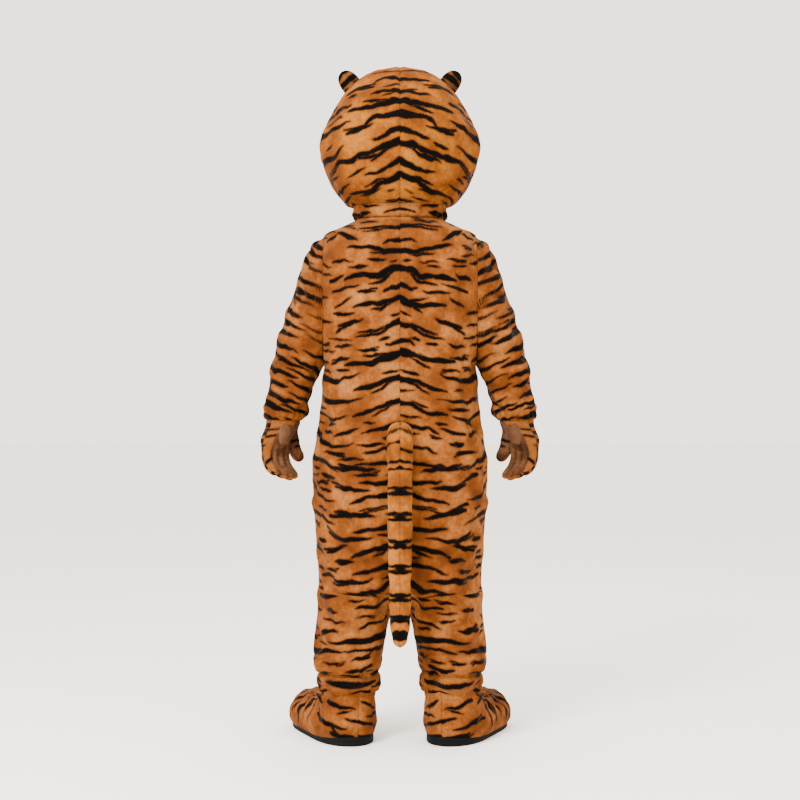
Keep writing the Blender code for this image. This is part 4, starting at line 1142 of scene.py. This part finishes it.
def addNeck(spec):
    # The head's gathered neck, over the suit's collar.
    table = np.array(spec["sections"])
    top, bottom = table[0, 0], table[-1, 0]
    heights = np.linspace(top, bottom, spec["rows"])
    offset = smooth(table[:, 0], table[:, 1], heights)
    turn = np.linspace(0, 2 * math.pi, spec["columns"], endpoint=False)
    power = 2 / spec["power"]
    sine, cosine = np.sin(turn), np.cos(turn)
    wide, rear, front = spec["collar"]
    x = (wide + offset[:, None]) * np.sign(sine) * np.abs(sine) ** power
    long = np.where(cosine > 0, rear, front) + offset[:, None]
    y = long * np.sign(cosine) * np.abs(cosine) ** power
    grid = np.stack([x, y, np.broadcast_to(heights[:, None], x.shape)], axis=-1)
    fade = smoothStep(top - heights, 0, 0.01) * smoothStep(heights - bottom, 0, 0.012)
    fine, broad = spec["gathers"]
    gather = np.cos(turn * 23 + 1.4 * np.cos(turn * 3)) * fine + np.cos(turn * 9 + 0.8) * broad
    away = np.stack([x, y, 0 * x], axis=-1)
    away /= np.linalg.norm(away, axis=-1, keepdims=True)
    moved = grid + away * (gather[None, :] * fade[:, None])[..., None]
    across = np.broadcast_to((turn * spec["girth"])[None, :], x.shape)
    length = 2 * math.pi * spec["girth"]
    source = np.random.RandomState(131)
    strokes = []
    for reverse in (False, True):
        for kind, width, points in inMetres(neckStripes):
            line = [(length - u if reverse else u, v) for u, v in points]
            addStripe(strokes, source, kind, width, line)
    stripe = strokeField(across, grid[..., 2], strokes)
    seam = np.minimum(np.minimum(across, length - across), grid[..., 2] - bottom + 0.0004)
    piece = meshPiece("neck_cloth", moved, plush, closed=True, stripe=stripe, seam=seam)
    declare(piece, ["head_neck"], moved, closed=True)


addNeck(neckSettings)
print("head ready")


# Ears, muzzle, nose and eyes

def headDepth(x, height):
    table = np.array(headSettings["sections"])
    width = np.interp(height, table[::-1, 0], table[::-1, 1])
    depth = np.interp(height, table[::-1, 0], table[::-1, 3])
    power = headSettings["power"]
    return depth * np.maximum(1 - np.abs(x / width) ** power, 0) ** (1 / power)


def headTop(x, y):
    low, high = 1.66, 1.89
    for _ in range(40):
        middle = (low + high) / 2
        if float(headDepth(x, middle)) > abs(y):
            low = middle
        else:
            high = middle
    return low


earSettings = {
    "tilt": math.radians(38),
    "foot": (0.131, -0.025),
    "spans": 34,
    "wide": 0.029,
    "tall": 0.0565,
    "cup": 0.01,
    "root": 0.004,
    "stripes": (  # across the ear, and up from its root
        ("side", 19, -36, 24, 0, 27, 36, 21),
        ("side", 30, -22, 60, 6, 58, 34, 43),
        ("dash", 10, -34, 6, -8, 9),
        ("dash", 6, 34, 8, 14, 6),
    ),
}


def addEar(spec, side, behind):
    # A cupped, softly filled half of an ear: the striped back or the lighter front.
    sine, cosine = math.sin(spec["tilt"]), math.cos(spec["tilt"])
    across, along = np.array((cosine, 0, -sine)), np.array((sine, 0, cosine))
    foot = np.array((*spec["foot"], headTop(*spec["foot"])))
    spans = spec["spans"]
    grid = np.zeros((spans + 1, spans + 1, 3))
    rises = np.sin(np.linspace(0, math.pi / 2, spans + 1))
    for row, rise in enumerate(rises):
        width = spec["wide"] * math.sqrt(max(1 - (0.985 * rise) ** 3.2, 0))
        up = spec["tall"] * rise - (spec["root"] if row == 0 else 0.0)
        for column in range(spans + 1):
            c = 2 * column / spans - 1
            cup = spec["cup"] * (1 - c * c) * (1 - 0.5 * rise)
            swell = math.sqrt(max(1 - c * c, 0)) * math.sqrt(max(1 - rise * rise * 0.97, 0))
            y = cup - 0.0032 + (0.005 * swell if behind else -0.001 - 0.0022 * swell)
            grid[row, column] = foot + across * (width * c) + along * up + (0, y, 0)
    down = np.broadcast_to((rises * spec["tall"])[:, None], grid.shape[:2])
    wide = (grid - foot) @ across
    source = np.random.RandomState(151 + side)
    strokes = []
    if behind:
        for kind, width, points in inMetres(spec["stripes"]):
            addStripe(strokes, source, kind, width, points)
    stripe = strokeField(wide, down, strokes)
    cream = None if behind else np.full(wide.shape, 0.01)
    finish, slot = (earPlush, "plush") if behind else (plush, "cream")
    label = sideName(side)
    name = f"ear_{'rear' if behind else 'front'}_{label}"
    piece = meshPiece(name, grid, finish, side, stripe=stripe, cream=cream)
    declare(piece, [f"ear_{'back' if behind else 'inner'}_{label}"], grid)


def domeGrid(spec, base, rings=30, spokes=72):
    shares = np.sin(np.linspace(0, math.pi / 2, rings))
    turn = np.linspace(0, 2 * math.pi, spokes, endpoint=False)
    x = spec["x"] + spec["wide"] * shares[:, None] * np.cos(turn)
    z = spec["z"] + spec["tall"] * shares[:, None] * np.sin(turn)
    lift = spec["rise"] * np.sqrt(np.maximum(1 - shares ** 2, 0))[:, None] + 0.0034
    y = -(base(x, z) + lift)
    return np.stack([x, y, z], axis=-1)


muzzleSpec = {"x": 0.0, "z": 1.585, "wide": 0.088, "tall": 0.058, "rise": 0.062}
noseSpec = {"x": 0.0, "z": 1.612, "wide": 0.03, "tall": 0.02, "rise": 0.016}
eyeSpec = {"x": 0.082, "z": 1.69, "wide": 0.031, "tall": 0.04, "rise": 0.01}


def muzzleDepth(x, height):
    share = (x / muzzleSpec["wide"]) ** 2 + ((height - muzzleSpec["z"]) / muzzleSpec["tall"]) ** 2
    return headDepth(x, height) + muzzleSpec["rise"] * np.sqrt(np.maximum(1 - share, 0)) + 0.0033


mouthSettings = {
    "top": 1.596,  # the cleft starts here, under the nose
    "middle": 1.566,
    "bow": (0.012, 0.055),
    "half": 0.052,
    "cleftWidth": 0.0035,
    "smileWidth": 0.0028,
    "depth": 0.0042,
}


def addMuzzle(mouth):
    grid = domeGrid(muzzleSpec, headDepth, 46, 120)
    x, z = grid[..., 0], grid[..., 2]
    above = np.where(z < mouth["top"], 0.0, 0.03)
    cleft = trough(x, mouth["cleftWidth"]) * (above == 0)
    rise, half = mouth["bow"]
    curve = mouth["middle"] - rise * np.cos(np.abs(x) / half * math.pi) * (np.abs(x) < half)
    inside = np.abs(x) < mouth["half"]
    smile = trough(z - curve, mouth["smileWidth"]) * inside
    grid[..., 1] += mouth["depth"] * np.maximum(cleft, smile)
    line = np.where(inside, np.abs(z - curve) + 0.0004, unpainted["seam"])
    seam = np.minimum(np.abs(x) + above + 0.0004, line)
    cream = np.full(x.shape, 0.01)
    piece = meshPiece("muzzle_cloth", grid, plush, closed=True, seam=seam, cream=cream)
    declare(piece, ["muzzle"], grid, closed=True)


def addFeatures():
    # A plain tiger face: a light muzzle with a mouth seam, a dark nose and two glossy eyes.
    addMuzzle(mouthSettings)
    nose = domeGrid(noseSpec, muzzleDepth)
    piece = meshPiece("nose_cap", nose, noseRubber, closed=True)
    declare(piece, ["nose"], nose, kind="hard")
    for side in (1, -1):
        eye = domeGrid(eyeSpec, headDepth)
        label = sideName(side)
        piece = meshPiece(f"eye_cap_{label}", eye, eyeGloss, side, closed=True)
        declare(piece, [f"eye_{label}"], eye, kind="hard")
        addEar(earSettings, side, True)
        addEar(earSettings, side, False)


addFeatures()
print("features ready")


# Tail: two stuffed halves

tailSettings = {
    "stations": (  # the middle's place and height, half the width and depth, and the lean in degrees
        (0.1718, 0.864, 0.033, 0.03, 0), (0.185, 0.864, 0.0345, 0.031, 5),
        (0.204, 0.857, 0.0358, 0.0315, 38), (0.215, 0.84, 0.0364, 0.031, 68),
        (0.219, 0.815, 0.0358, 0.0305, 84), (0.22, 0.78, 0.034, 0.03, 89),
        (0.2195, 0.71, 0.033, 0.0295, 90), (0.2185, 0.64, 0.0326, 0.029, 91),
        (0.2175, 0.57, 0.0322, 0.0285, 91), (0.2165, 0.5, 0.031, 0.0275, 91),
        (0.216, 0.435, 0.0293, 0.0262, 90), (0.216, 0.38, 0.0276, 0.025, 90),
        (0.216, 0.34, 0.0254, 0.0232, 90), (0.216, 0.312, 0.0205, 0.019, 90),
        (0.216, 0.296, 0.013, 0.012, 90), (0.216, 0.2885, 0.0004, 0.0004, 90),
    ),
    "rows": 230,
    "columns": 44,
    "bands": (  # height, width, distance between the pair, drop at the side, and 1 or -1 for one half
        (0.8575, 0.0042, 0.0, 0.0125, 0), (0.834, 0.0052, 0.0, 0.009, 1),
        (0.819, 0.0052, 0.0, 0.008, -1), (0.7925, 0.0062, 0.0, 0.016, 0),
        (0.773, 0.006, 0.0, 0.009, 0), (0.7125, 0.008, 0.017, 0.006, 0),
        (0.6443, 0.0085, 0.017, 0.006, 0), (0.5711, 0.0085, 0.019, 0.003, 0),
        (0.5035, 0.007, 0.016, 0.003, 0), (0.427, 0.008, 0.016, 0.003, 0),
        (0.368, 0.011, 0.013, 0.004, 0), (0.323, 0.014, 0.01, 0.004, 0),
    ),
    "girth": 0.031,
    "groove": (0.0014, 0.0035),
}


def tailBands(spec, grid, share, height, side):
    # Rings that drop towards the sides; a pair is joined to one band beside the seam.
    stripe = np.full(share.shape, unpainted["stripe"])
    for place, width, apart, drop, half in spec["bands"]:
        if half == -side:
            continue
        seed = int(place * 1000)
        shake = waves(grid, 0.028, 17 + seed) * 0.0013
        middle = height - place - drop * share ** 1.5 + drop - shake
        thick = width * (0.34 + 0.36 * share ** 2) * (1 + 0.2 * waves(grid, 0.02, 3 + seed))
        gap = apart * (0.56 - 0.16 * share)
        inside = thick - np.minimum(np.abs(middle - gap), np.abs(middle + gap))
        if apart:
            inside = np.maximum(inside, gap + 0.001 - np.abs(middle) - 0.9 * (1 - share) * 0.048)
        stripe = np.maximum(stripe, inside)
    return stripe


def addTail(spec, side):
    table = np.array(spec["stations"])
    run = running(np.hypot(np.diff(table[:, 0]), np.diff(table[:, 1])))
    at = np.linspace(0, run[-1], spec["rows"])
    y, z, wide, deep, lean = (smooth(run, table[:, k], at)[:, None] for k in range(5))
    lean = np.radians(lean)
    turn = np.linspace(-math.pi / 2, math.pi / 2, spec["columns"])
    x = np.maximum(wide * np.cos(turn), 0.00015)
    out = deep * np.sin(turn)
    grid = np.stack([x, y + out * np.sin(lean), z + out * np.cos(lean)], axis=-1)
    normals = gridNormals(grid)
    normals = turned(normals, normals[100, 22, 0])
    across = np.broadcast_to(((turn + math.pi / 2) * spec["girth"])[None, :], x.shape)
    height = np.broadcast_to(z, x.shape)
    stripe = tailBands(spec, grid, across / across[:, -1:], height, side)
    seam = np.minimum(across[:, -1:] - across, across)
    soft = smoothStep(at, 0.0, 0.03) * smoothStep(at[-1] - at, 0.0, 0.03)
    lift = waves(grid, 0.045, 13) * 0.0011 * soft[:, None] * smoothStep(seam, 0, 0.012)
    grooveDeep, grooveWide = spec["groove"]
    lift -= grooveDeep * trough(seam, grooveWide)
    moved = grid + normals * lift[..., None]
    moved[..., 0] = np.maximum(moved[..., 0], 0.0)
    moved[:, (0, -1), 0] = 0.0
    label = sideName(side)
    # The tail wears the lighter copy of the plush: painted light.
    piece = meshPiece(f"tail_plush_{label}", moved, litTailPlush, side, stripe=stripe, seam=seam)
    declare(piece, [f"tail_{label}"], moved, kind="padded")


for side in (1, -1):
    addTail(tailSettings, side)
print("tail ready")


# Boots

bootSettings = {
    "heel": (0.1475, 0.03),
    "turn": math.radians(22.5),
    "leg": (0.14425, 0.0794, 0.0896),
    "sections": (  # height, heel's and toe's radius, reach between them, share and scale of the shaft
        (0.0, 0.082, 0.087, 0.235, 0.0, 1.0), (0.022, 0.087, 0.0945, 0.24, 0.0, 1.0),
        (0.045, 0.088, 0.095, 0.239, 0.0, 1.0), (0.07, 0.0875, 0.088, 0.232, 0.0, 1.0),
        (0.09, 0.0865, 0.0705, 0.22, 0.0, 1.0), (0.106, 0.085, 0.052, 0.2, 0.0, 1.0),
        (0.118, 0.0825, 0.045, 0.166, 0.2, 1.0), (0.128, 0.079, 0.045, 0.132, 0.65, 1.0),
        (0.137, 0.074, 0.048, 0.11, 1.0, 1.0), (0.148, 0.074, 0.048, 0.11, 1.0, 1.0),
        (0.17, 0.074, 0.048, 0.11, 1.0, 0.965),
    ),
    "square": 0.3,
    "rows": 78,
    "columns": 110,
    "creases": (  # from the toe's seam, and up from the rand
        (0.2, 0.15, 0.33, 0.08, -0.0045, 0.008), (0.23, 0.165, 0.36, 0.1, 0.004, 0.009),
        (0.27, 0.175, 0.41, 0.115, -0.0045, 0.008), (0.31, 0.18, 0.44, 0.13, 0.0035, 0.009),
        (0.14, 0.15, 0.24, 0.07, -0.0035, 0.009), (0.36, 0.17, 0.48, 0.14, -0.0035, 0.008),
        (0.05, 0.17, 0.16, 0.11, 0.003, 0.01),
    ),
    "middle": (0.19, -0.06),  # a place inside the boot
    "rand": (0.0065, 0.025),  # its height at the toe and at the heel
    "clear": 0.0003,
    "level": 0.106,  # above this height the rows no longer follow the rand
    "striped": 0.62,  # the share of a quarter that has upright stripes, from the toe
    "groove": ((0.0014, 0.004), (0.0012, 0.004)),
    "loops": (  # the sole's rings: inset, height, and share of the rand's height
        (0.03, 0.0, 0.0), (0.003, 0.0, 0.0), (0.0012, 0.0006, 0.0), (0.0003, 0.0018, 0.0),
        (0.0, 0.003, 0.0), (0.0, 0.0, 0.45), (0.0008, 0.0, 0.5), (0.0, 0.0, 0.55), (0.0, 0.0, 0.97),
        (0.0006, 0.0, 1.0), (0.004, 0.0, 1.0),
    ),
}


# The heel's stripes as they are seen from behind, in millimetres
heelStripes = (
    ("side", 11, 205, 107, 170, 90, 127, 78),
    ("arm", 10, 117, 46, 134, 50, 158, 57),
    ("arm", 11, 117, 46, 94, 42, 70, 36),
    ("fork", 13, 236, 72, 213, 47, 185, 33, 151, 23),
    ("fork", 13, 201, 21, 180, 6, 129, -5),
    ("arm", 11, 117, -4, 94, -1, 70, 7),
    ("side", 11, 108, 104, 91, 96, 66, 86),
    ("dash", 10, 231, 124, 225, 113, 220, 98),
    ("side", 8, 69, 75, 80, 66, 98, 60),
    ("dash", 7, 176, 66, 158, 74, 138, 79),
)


def bootRing(values, turn, spec, inset=0.0):
    # An outline of the boot at angles from the toe; the shaft takes over towards the top.
    heel, toe, reach, share, scale = values
    cosine, sine = np.cos(turn), np.sin(turn)
    forward = 0.5 + 0.5 * np.sign(cosine) * np.abs(cosine) ** spec["square"]
    radius = heel + (toe - heel) * forward - inset
    along, across = reach * forward + radius * cosine, radius * sine
    a = spec["turn"]
    x = spec["heel"][0] + math.sin(a) * along + math.cos(a) * across
    y = spec["heel"][1] - math.cos(a) * along + math.sin(a) * across
    middle, halfX, halfY = spec["leg"]
    angle = turn - math.pi / 2 + a
    legX, legY = middle + halfX * scale * np.cos(angle), halfY * scale * np.sin(angle)
    return x + (legX - x) * share, y + (legY - y) * share


def randHeight(spec, turn):
    low, high = spec["rand"]
    return low + (high - low) * ((1 - np.cos(turn)) / 2) ** 2


def bootStrokes(spec, grid, normals, across, up, outer, side):
    source = np.random.RandomState(191 + outer * 5 + (side > 0) * 3)
    strokes = []
    shown = normals[..., 1] > 0.02
    addSeenStripes(strokes, source, inMetres(heelStripes), grid, across, up, shown=shown)
    length = across[0, -1]
    striped = length * spec["striped"]
    place = 0.016
    while place < striped:
        toe = place / striped
        top = source.uniform(0.15, 0.215) + 0.03 * toe
        foot = (place, 0.004 + source.uniform(0, 0.03))
        line = [(place + 0.055 * toe, top), (place + 0.012, top * 0.55), foot]
        low = source.uniform(0.03, 0.08)
        short = [(place + 0.018, low + 0.055), (place + 0.015, low)]
        if not outer:
            line, short = ([(length - x, z) for x, z in part] for part in (line, short))
        kind = ("side", "fork", "split")[source.randint(3)]
        addStripe(strokes, source, kind, source.uniform(0.012, 0.017), line)
        addStripe(strokes, source, "dash", 0.01, short)
        place += source.uniform(0.036, 0.044)
    return strokes


def addBootQuarter(spec, outer, side):
    table = np.array(spec["sections"])
    run = running(np.hypot(np.diff(table[:, 0]), np.diff(table[:, 3] + table[:, 2]) * 0.6))
    at = np.linspace(0, run[-1], spec["rows"])
    values = np.stack([smooth(run, table[:, k], at) for k in range(6)], axis=-1)
    fine = np.linspace(0, math.pi, 4001) + (0 if outer else math.pi)
    x, y = bootRing(spec["sections"][1][1:], fine, spec)
    outline = running(np.hypot(np.diff(x), np.diff(y)))
    turn = np.interp(np.linspace(0, outline[-1], spec["columns"]), outline, fine)
    edge = randHeight(spec, turn) + spec["clear"]
    rows = []
    for height, *rest in values:
        x, y = bootRing(rest, turn, spec)
        rows.append(np.stack([x, y, height + edge * max(1 - height / spec["level"], 0)], axis=-1))
    grid = np.array(rows)
    normals = outward(grid, gridNormals(grid), spec["middle"])
    across = np.broadcast_to(arcs(grid, 1)[20][None, :], grid.shape[:2])
    up = arcs(grid, 0)
    length = across[0, -1]
    stripe = strokeField(across, up, bootStrokes(spec, grid, normals, across, up, outer, side))
    edge = np.minimum(across, length - across)
    calm = smoothStep(up, 0.004, 0.03) * smoothStep(0.15 - grid[..., 2], 0.0, 0.022)
    mirrored = across if outer else length - across
    lift = waves(grid, 0.045, 15) * 0.0028 * calm + crease(mirrored, up, spec["creases"]) * calm * 1.5
    (sideDeep, sideWide), (lowDeep, lowWide) = spec["groove"]
    lift -= sideDeep * trough(edge, sideWide) * calm
    lift -= lowDeep * trough(up, lowWide)
    moved = grid + normals * lift[..., None]
    half = f"{'outer' if outer else 'inner'}_{sideName(side)}"
    seam = np.minimum(edge, up + 0.0006)
    piece = meshPiece(f"boot_cloth_{half}", moved, plush, side, stripe=stripe, seam=seam)
    declare(piece, [f"boot_{half}"], moved)


def addSole(spec, side):
    # A rubber sole with a rounded foot edge, a raised heel rand and a fine groove round it.
    turn = np.linspace(0, 2 * math.pi, 180, endpoint=False)
    values = spec["sections"][0][1:]
    rand = randHeight(spec, turn)
    rows = []
    for inset, height, share in spec["loops"]:
        x, y = bootRing(values, turn, spec, inset)
        rows.append(np.stack([x, y, height + rand * share], axis=-1))
    grid = np.array(rows)
    label = sideName(side)
    piece = meshPiece(f"rand_{label}", grid, soleRubber, side, closed=True)
    openForEditing(piece, "DESELECT")
    bpy.ops.mesh.select_non_manifold()
    bpy.ops.mesh.fill()
    bpy.ops.mesh.select_all(action="SELECT")
    bpy.ops.mesh.normals_make_consistent(inside=False)
    bpy.ops.object.mode_set(mode="OBJECT")
    piece.data.set_sharp_from_angle(angle=math.radians(50))
    piece.select_set(False)
    declare(piece, [f"sole_{label}"], grid, kind="hard")


for side in (1, -1):
    addBootQuarter(bootSettings, True, side)
    addBootQuarter(bootSettings, False, side)
    addSole(bootSettings, side)
print("boots ready")


# Gloves: a striped back and a brown palm, with their halves of the fingers

stripNames = ("low", "high", "webLow", "webHigh", "thick", "web", "length", "curl", "splay")
gloveSettings = {
    "turn": math.radians(40),
    "wristX": 0.3295,
    "knuckles": 0.803,
    "spread": -0.088,
    "deepen": -0.045,
    # How thick half a hand is along it
    "rows": ((-0.123, 0.0482), (-0.088, 0.0482), (-0.062, 0.044), (-0.045, 0.039), (-0.03, 0.035),
             (-0.014, 0.031), (0.0, 0.027)),
    "top": -0.123,
    "thinnest": 0.00015,
    "flat": (0.19, 0.235),
    # The little finger to the thumb: edges across the wrist and at the web, half the thickness, where
    # the finger starts and how long it is, and the degrees by which it curls and splays
    "strips": [dict(zip(stripNames, row)) for row in (
        (-0.0482, -0.0318, -0.08, -0.0556, 0.0145, 0.0, 0.078, 92, 0),
        (-0.0318, -0.0153, -0.0556, -0.0312, 0.015, 0.0, 0.09, 88, 0),
        (-0.0153, 0.0012, -0.0312, -0.0068, 0.0155, 0.0, 0.096, 84, 0),
        (0.0012, 0.0177, -0.0068, 0.0176, 0.015, 0.0, 0.088, 78, 0),
        (0.0177, 0.0482, 0.0176, 0.0596, 0.019, -0.03, 0.056, 48, 14),
    )],
    # How a finger narrows towards its tip
    "slim": ((0.0, 1.0), (0.34, 1.0), (0.68, 0.96), (0.92, 0.66), (1.0, 0.14)),
    "spans": 12,
    "wrap": (  # heights and places, seen from behind, where the striped plush ends on the palm half
        (0.892, 0.292), (0.8835, 0.301), (0.8722, 0.317), (0.8638, 0.337), (0.8553, 0.35), (0.8327, 0.358),
        (0.813, 0.361), (0.7989, 0.364), (0.782, 0.36), (0.7594, 0.353), (0.7397, 0.337), (0.7171, 0.306),
    ),
    "ink": (  # strokes of the wrap on the palm half: width and points
        (0.0045, ((0.387, 0.864), (0.369, 0.87), (0.344, 0.872), (0.308, 0.882))),
        (0.006, ((0.392, 0.849), (0.373, 0.851), (0.35, 0.855))),
        (0.004, ((0.392, 0.816), (0.386, 0.825), (0.38, 0.827))),
        (0.0085, ((0.383, 0.77), (0.374, 0.78), (0.363, 0.789))),
        (0.007, ((0.356, 0.746), (0.343, 0.739), (0.333, 0.74))),
        (0.005, ((0.383, 0.893), (0.377, 0.886))),
        (0.0075, ((0.269, 0.854), (0.287, 0.842), (0.308, 0.836))),
        (0.006, ((0.269, 0.83), (0.286, 0.825), (0.295, 0.822))),
        (0.005, ((0.281, 0.887), (0.278, 0.877))),
    ),
    "folds": (  # creases of the palm, drawn as dark lines of painted shade
        ((0.36, 0.815), (0.337, 0.811), (0.312, 0.824)),
        ((0.361, 0.801), (0.34, 0.798), (0.317, 0.807)),
        ((0.354, 0.786), (0.344, 0.784)),
        ((0.344, 0.765), (0.335, 0.762)),
        ((0.329, 0.778), (0.317, 0.772)),
    ),
    "padPlace": -0.03,
    # How wide half the pad is along it
    "pad": ((-0.086, 0.002), (-0.074, 0.012), (-0.062, 0.0175), (-0.045, 0.0205), (-0.03, 0.018),
            (-0.027, 0.014)),
}


def blend(low, high, share):
    return low + (high - low) * share


def spread(spec, along):
    return float(smoothStep(along, spec["spread"], spec["strips"][-1]["web"]))


def stripEdges(spec, number, along):
    strip, share = spec["strips"][number], spread(spec, along)
    return blend(strip["low"], strip["webLow"], share), blend(strip["high"], strip["webHigh"], share)


def spanHeight(across, low, high, height):
    return height * math.sqrt(max(1 - ((across - (low + high) / 2) / ((high - low) / 2)) ** 2, 0))


def handHeight(spec, across, along):
    rows = np.array(spec["rows"])
    height = float(smooth(rows[:, 0], rows[:, 1], along))
    low = stripEdges(spec, 0, along)[0]
    whole = spanHeight(across, low, stripEdges(spec, 4, along)[1], height)
    palm = spanHeight(across, low, stripEdges(spec, 3, along)[1], height)
    return blend(whole, palm, spread(spec, along))


def handLine(spec, number, along):
    # A strip's points across the hand, where valleys deepen between the fingers.
    strip, spans, thumb = spec["strips"][number], spec["spans"], len(spec["strips"]) - 1
    low, high = stripEdges(spec, number, along)
    webs = {0: strip["web"] if number else None, spans: None}
    if number < thumb:
        webs[spans] = spec["strips"][number + 1]["web"]
    points = []
    for k in range(spans + 1):
        turn = math.pi * (k / spans - 0.5)
        across = blend(low, high, 0.5 + 0.5 * math.sin(turn))
        web = webs.get(k)
        free = k in webs and (web is None or along > web)
        target = strip["web"] if web is None else web
        ease = abs(2 * k / spans - 1)
        if number == thumb - 1 and k > spans / 2:
            target = blend(strip["web"], spec["strips"][thumb]["web"], ease ** 2)
        start = spec["deepen"] if target > -0.01 else spec["spread"]
        share = float(smoothStep(along, start, target))
        height = 0 if free else blend(handHeight(spec, across, along), strip["thick"] * math.cos(turn), share)
        points.append((across, max(height, spec["thinnest"]), along))
    return points


def fingerLine(spec, number, share):
    strip, spans = spec["strips"][number], spec["spans"]
    table = np.array(spec["slim"])
    slim = float(smooth(table[:, 0], table[:, 1], share))
    gap = 0.0005 * min(share / 0.1, 1)
    middle, half = (strip["webLow"] + strip["webHigh"]) / 2, (strip["webHigh"] - strip["webLow"]) / 2 - gap
    points = []
    for k in range(spans + 1):
        turn = math.pi * (k / spans - 0.5)
        height = max(strip["thick"] * slim * math.cos(turn), spec["thinnest"])
        points.append((middle + half * slim * math.sin(turn), height, strip["web"] + strip["length"] * share))
    return points


def curl(strip, point, facing):
    # Bends a strip's point towards the palm below its web.
    across, height, along = point[0], point[1] * facing, point[2]
    reach = along - strip["web"]
    if reach <= 0:
        return across, height, along
    bend = math.radians(strip["curl"]) / strip["length"]
    turn = bend * reach
    forward = math.sin(turn) / bend + height * math.sin(turn)
    height = height * math.cos(turn) - (1 - math.cos(turn)) / bend
    return across + forward * math.tan(math.radians(strip["splay"])), height, strip["web"] + forward


def handPlace(spec, points):
    # From the hand's own axes to the costume's.
    points = np.asarray(points, float)
    a = spec["turn"]
    palm = np.array((-math.cos(a), math.sin(a), 0.0))
    index = np.array((-math.sin(a), -math.cos(a), 0.0))
    base = np.zeros(points.shape)
    base[..., 0] = spec["wristX"]
    base[..., 2] = spec["knuckles"] - points[..., 2] - shoulderHeight
    return base - points[..., 1:2] * palm + points[..., :1] * index


def gloveStrokes(side):
    # Strokes from both side seams towards the middle of the hand's back.
    source = np.random.RandomState(211 + side)
    strokes = []
    low, high, width = -0.086, 0.08, 0.012
    for place in (-0.108, -0.085, -0.062, -0.038, -0.014, 0.012, 0.036, 0.06):
        reach, lean = source.uniform(0.045, 0.07), source.uniform(-0.006, 0.004)
        line = [(low, place), (low + reach / 2, place + 0.004), (low + reach, place + lean)]
        addStripe(strokes, source, ("fork", "side", "split")[source.randint(3)], width, line)
        start, reach = place + source.uniform(0.006, 0.014), source.uniform(0.045, 0.065)
        line = [(high, start), (high - reach / 2, start + 0.003), (high - reach, start + lean)]
        addStripe(strokes, source, ("fork", "side")[source.randint(2)], width, line)
    return strokes


def palmPaint(spec, places, border):
    # The striped plush wraps round the outer side of the palm half.
    u, v = fromBehind(places[:, 0], places[:, 1], places[:, 2] + shoulderHeight)
    wrap = np.array(spec["wrap"])
    cream = u - np.interp(v, wrap[::-1, 0], wrap[::-1, 1])
    swell = np.array([0.3, 1.0, 0.8, 0.25])
    strokes = [(np.array(points), swell[:len(points)] * width / 2) for width, points in spec["ink"]]
    stripe = strokeField(u, v, strokes)
    # The palm's creases are drawn as dark lines in the seam paint: painted shade, as the palm itself stays
    # smooth.
    folds = [(np.array(points), np.full(len(points), 0.0012)) for points in spec["folds"]]
    seam = np.minimum(border, 0.001 - strokeField(u, v, folds))
    return {"stripe": stripe, "cream": cream, "seam": np.maximum(np.minimum(seam, np.abs(cream) + 0.0008), 0)}


def gloveLines(spec, number):
    # A strip's lines of points from the wrist's hem, down the hand and along its finger.
    web = spec["strips"][number]["web"]
    alongs = np.linspace(spec["top"], 0.0, 53)
    if web:
        alongs = [along for along in alongs if along < web - 0.001] + [web]
    shares = 1 - (1 - np.linspace(0, 1, 25)[1:]) ** 1.25
    return ([handLine(spec, number, along) for along in alongs]
            + [fingerLine(spec, number, share) for share in shares])


def addGlove(spec, facing, side):
    # One half of a glove: every strip of its cut, joined where the hand is whole.
    vertices, flat, faces, border = [], [], [], []
    columns = spec["spans"] + 1
    for number, strip in enumerate(spec["strips"]):
        start = len(vertices)
        lines = gloveLines(spec, number)
        for across, height, along in (point for line in lines for point in line):
            vertices.append(handPlace(spec, curl(strip, (across, height, along), facing)))
            flat.append((across, along))
            border.append(height)
        for row in range(len(lines) - 1):
            for k in range(columns - 1):
                a = start + row * columns + k
                faces.append((a, a + 1, a + 1 + columns, a + columns))
        tip = start + (len(lines) - 1) * columns
        faces.append(tuple(range(tip, tip + columns)))
    vertices, flat, border = np.array(vertices), np.array(flat), np.array(border)
    if facing > 0:
        paint = {"stripe": strokeField(flat[:, 0], flat[:, 1], gloveStrokes(side)), "seam": border}
    else:
        paint = palmPaint(spec, vertices, border)
    label = sideName(side)
    name = f"glove_{'fur' if facing > 0 else 'suede'}_{label}"
    piece = addPiece(name, vertices * (side, 1, 1), faces, plush if facing > 0 else palmCloth, paint)
    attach(piece, "root")
    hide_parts(f"glove_{'back' if facing > 0 else 'palm'}_{label}")
    area = sum(face.area for face in piece.data.polygons)
    width, length = spec["flat"]
    min(area, width * length)


def addPad(spec, side):
    # A padded oval on the palm, thin at its rim.
    table = np.array(spec["pad"])
    along = np.linspace(table[0, 0], table[-1, 0], 40)
    halves = smooth(table[:, 0], table[:, 1], along)
    shares = np.linspace(-1, 1, 30)
    rimWidth = 0.004
    points = np.zeros((len(along), len(shares), 3))
    for row, (place, half) in enumerate(zip(along, halves)):
        for column in range(len(shares)):
            c = 2 * column / (len(shares) - 1) - 1
            across = spec["padPlace"] + half * c
            rim = min((1 - abs(c)) * half, place - along[0], along[-1] - place) / rimWidth
            rise = 0.0002 + 0.0036 * math.sqrt(max(min(1.0, rim), 0))
            points[row, column] = (across, -handHeight(spec, across, place) - rise, place)
    grid = handPlace(spec, points)
    seam = np.abs((1 - np.abs(shares))[None, :] * halves[:, None] - 0.003) + 0.0004
    label = sideName(side)
    piece = meshPiece(f"pad_suede_{label}", grid, padCloth, side, aboveFloor=False, seam=seam)
    declare(piece, [f"glove_pad_{label}"], grid)


for side in (1, -1):
    addGlove(gloveSettings, 1, side)
    addGlove(gloveSettings, -1, side)
    addPad(gloveSettings, side)
print("gloves ready")
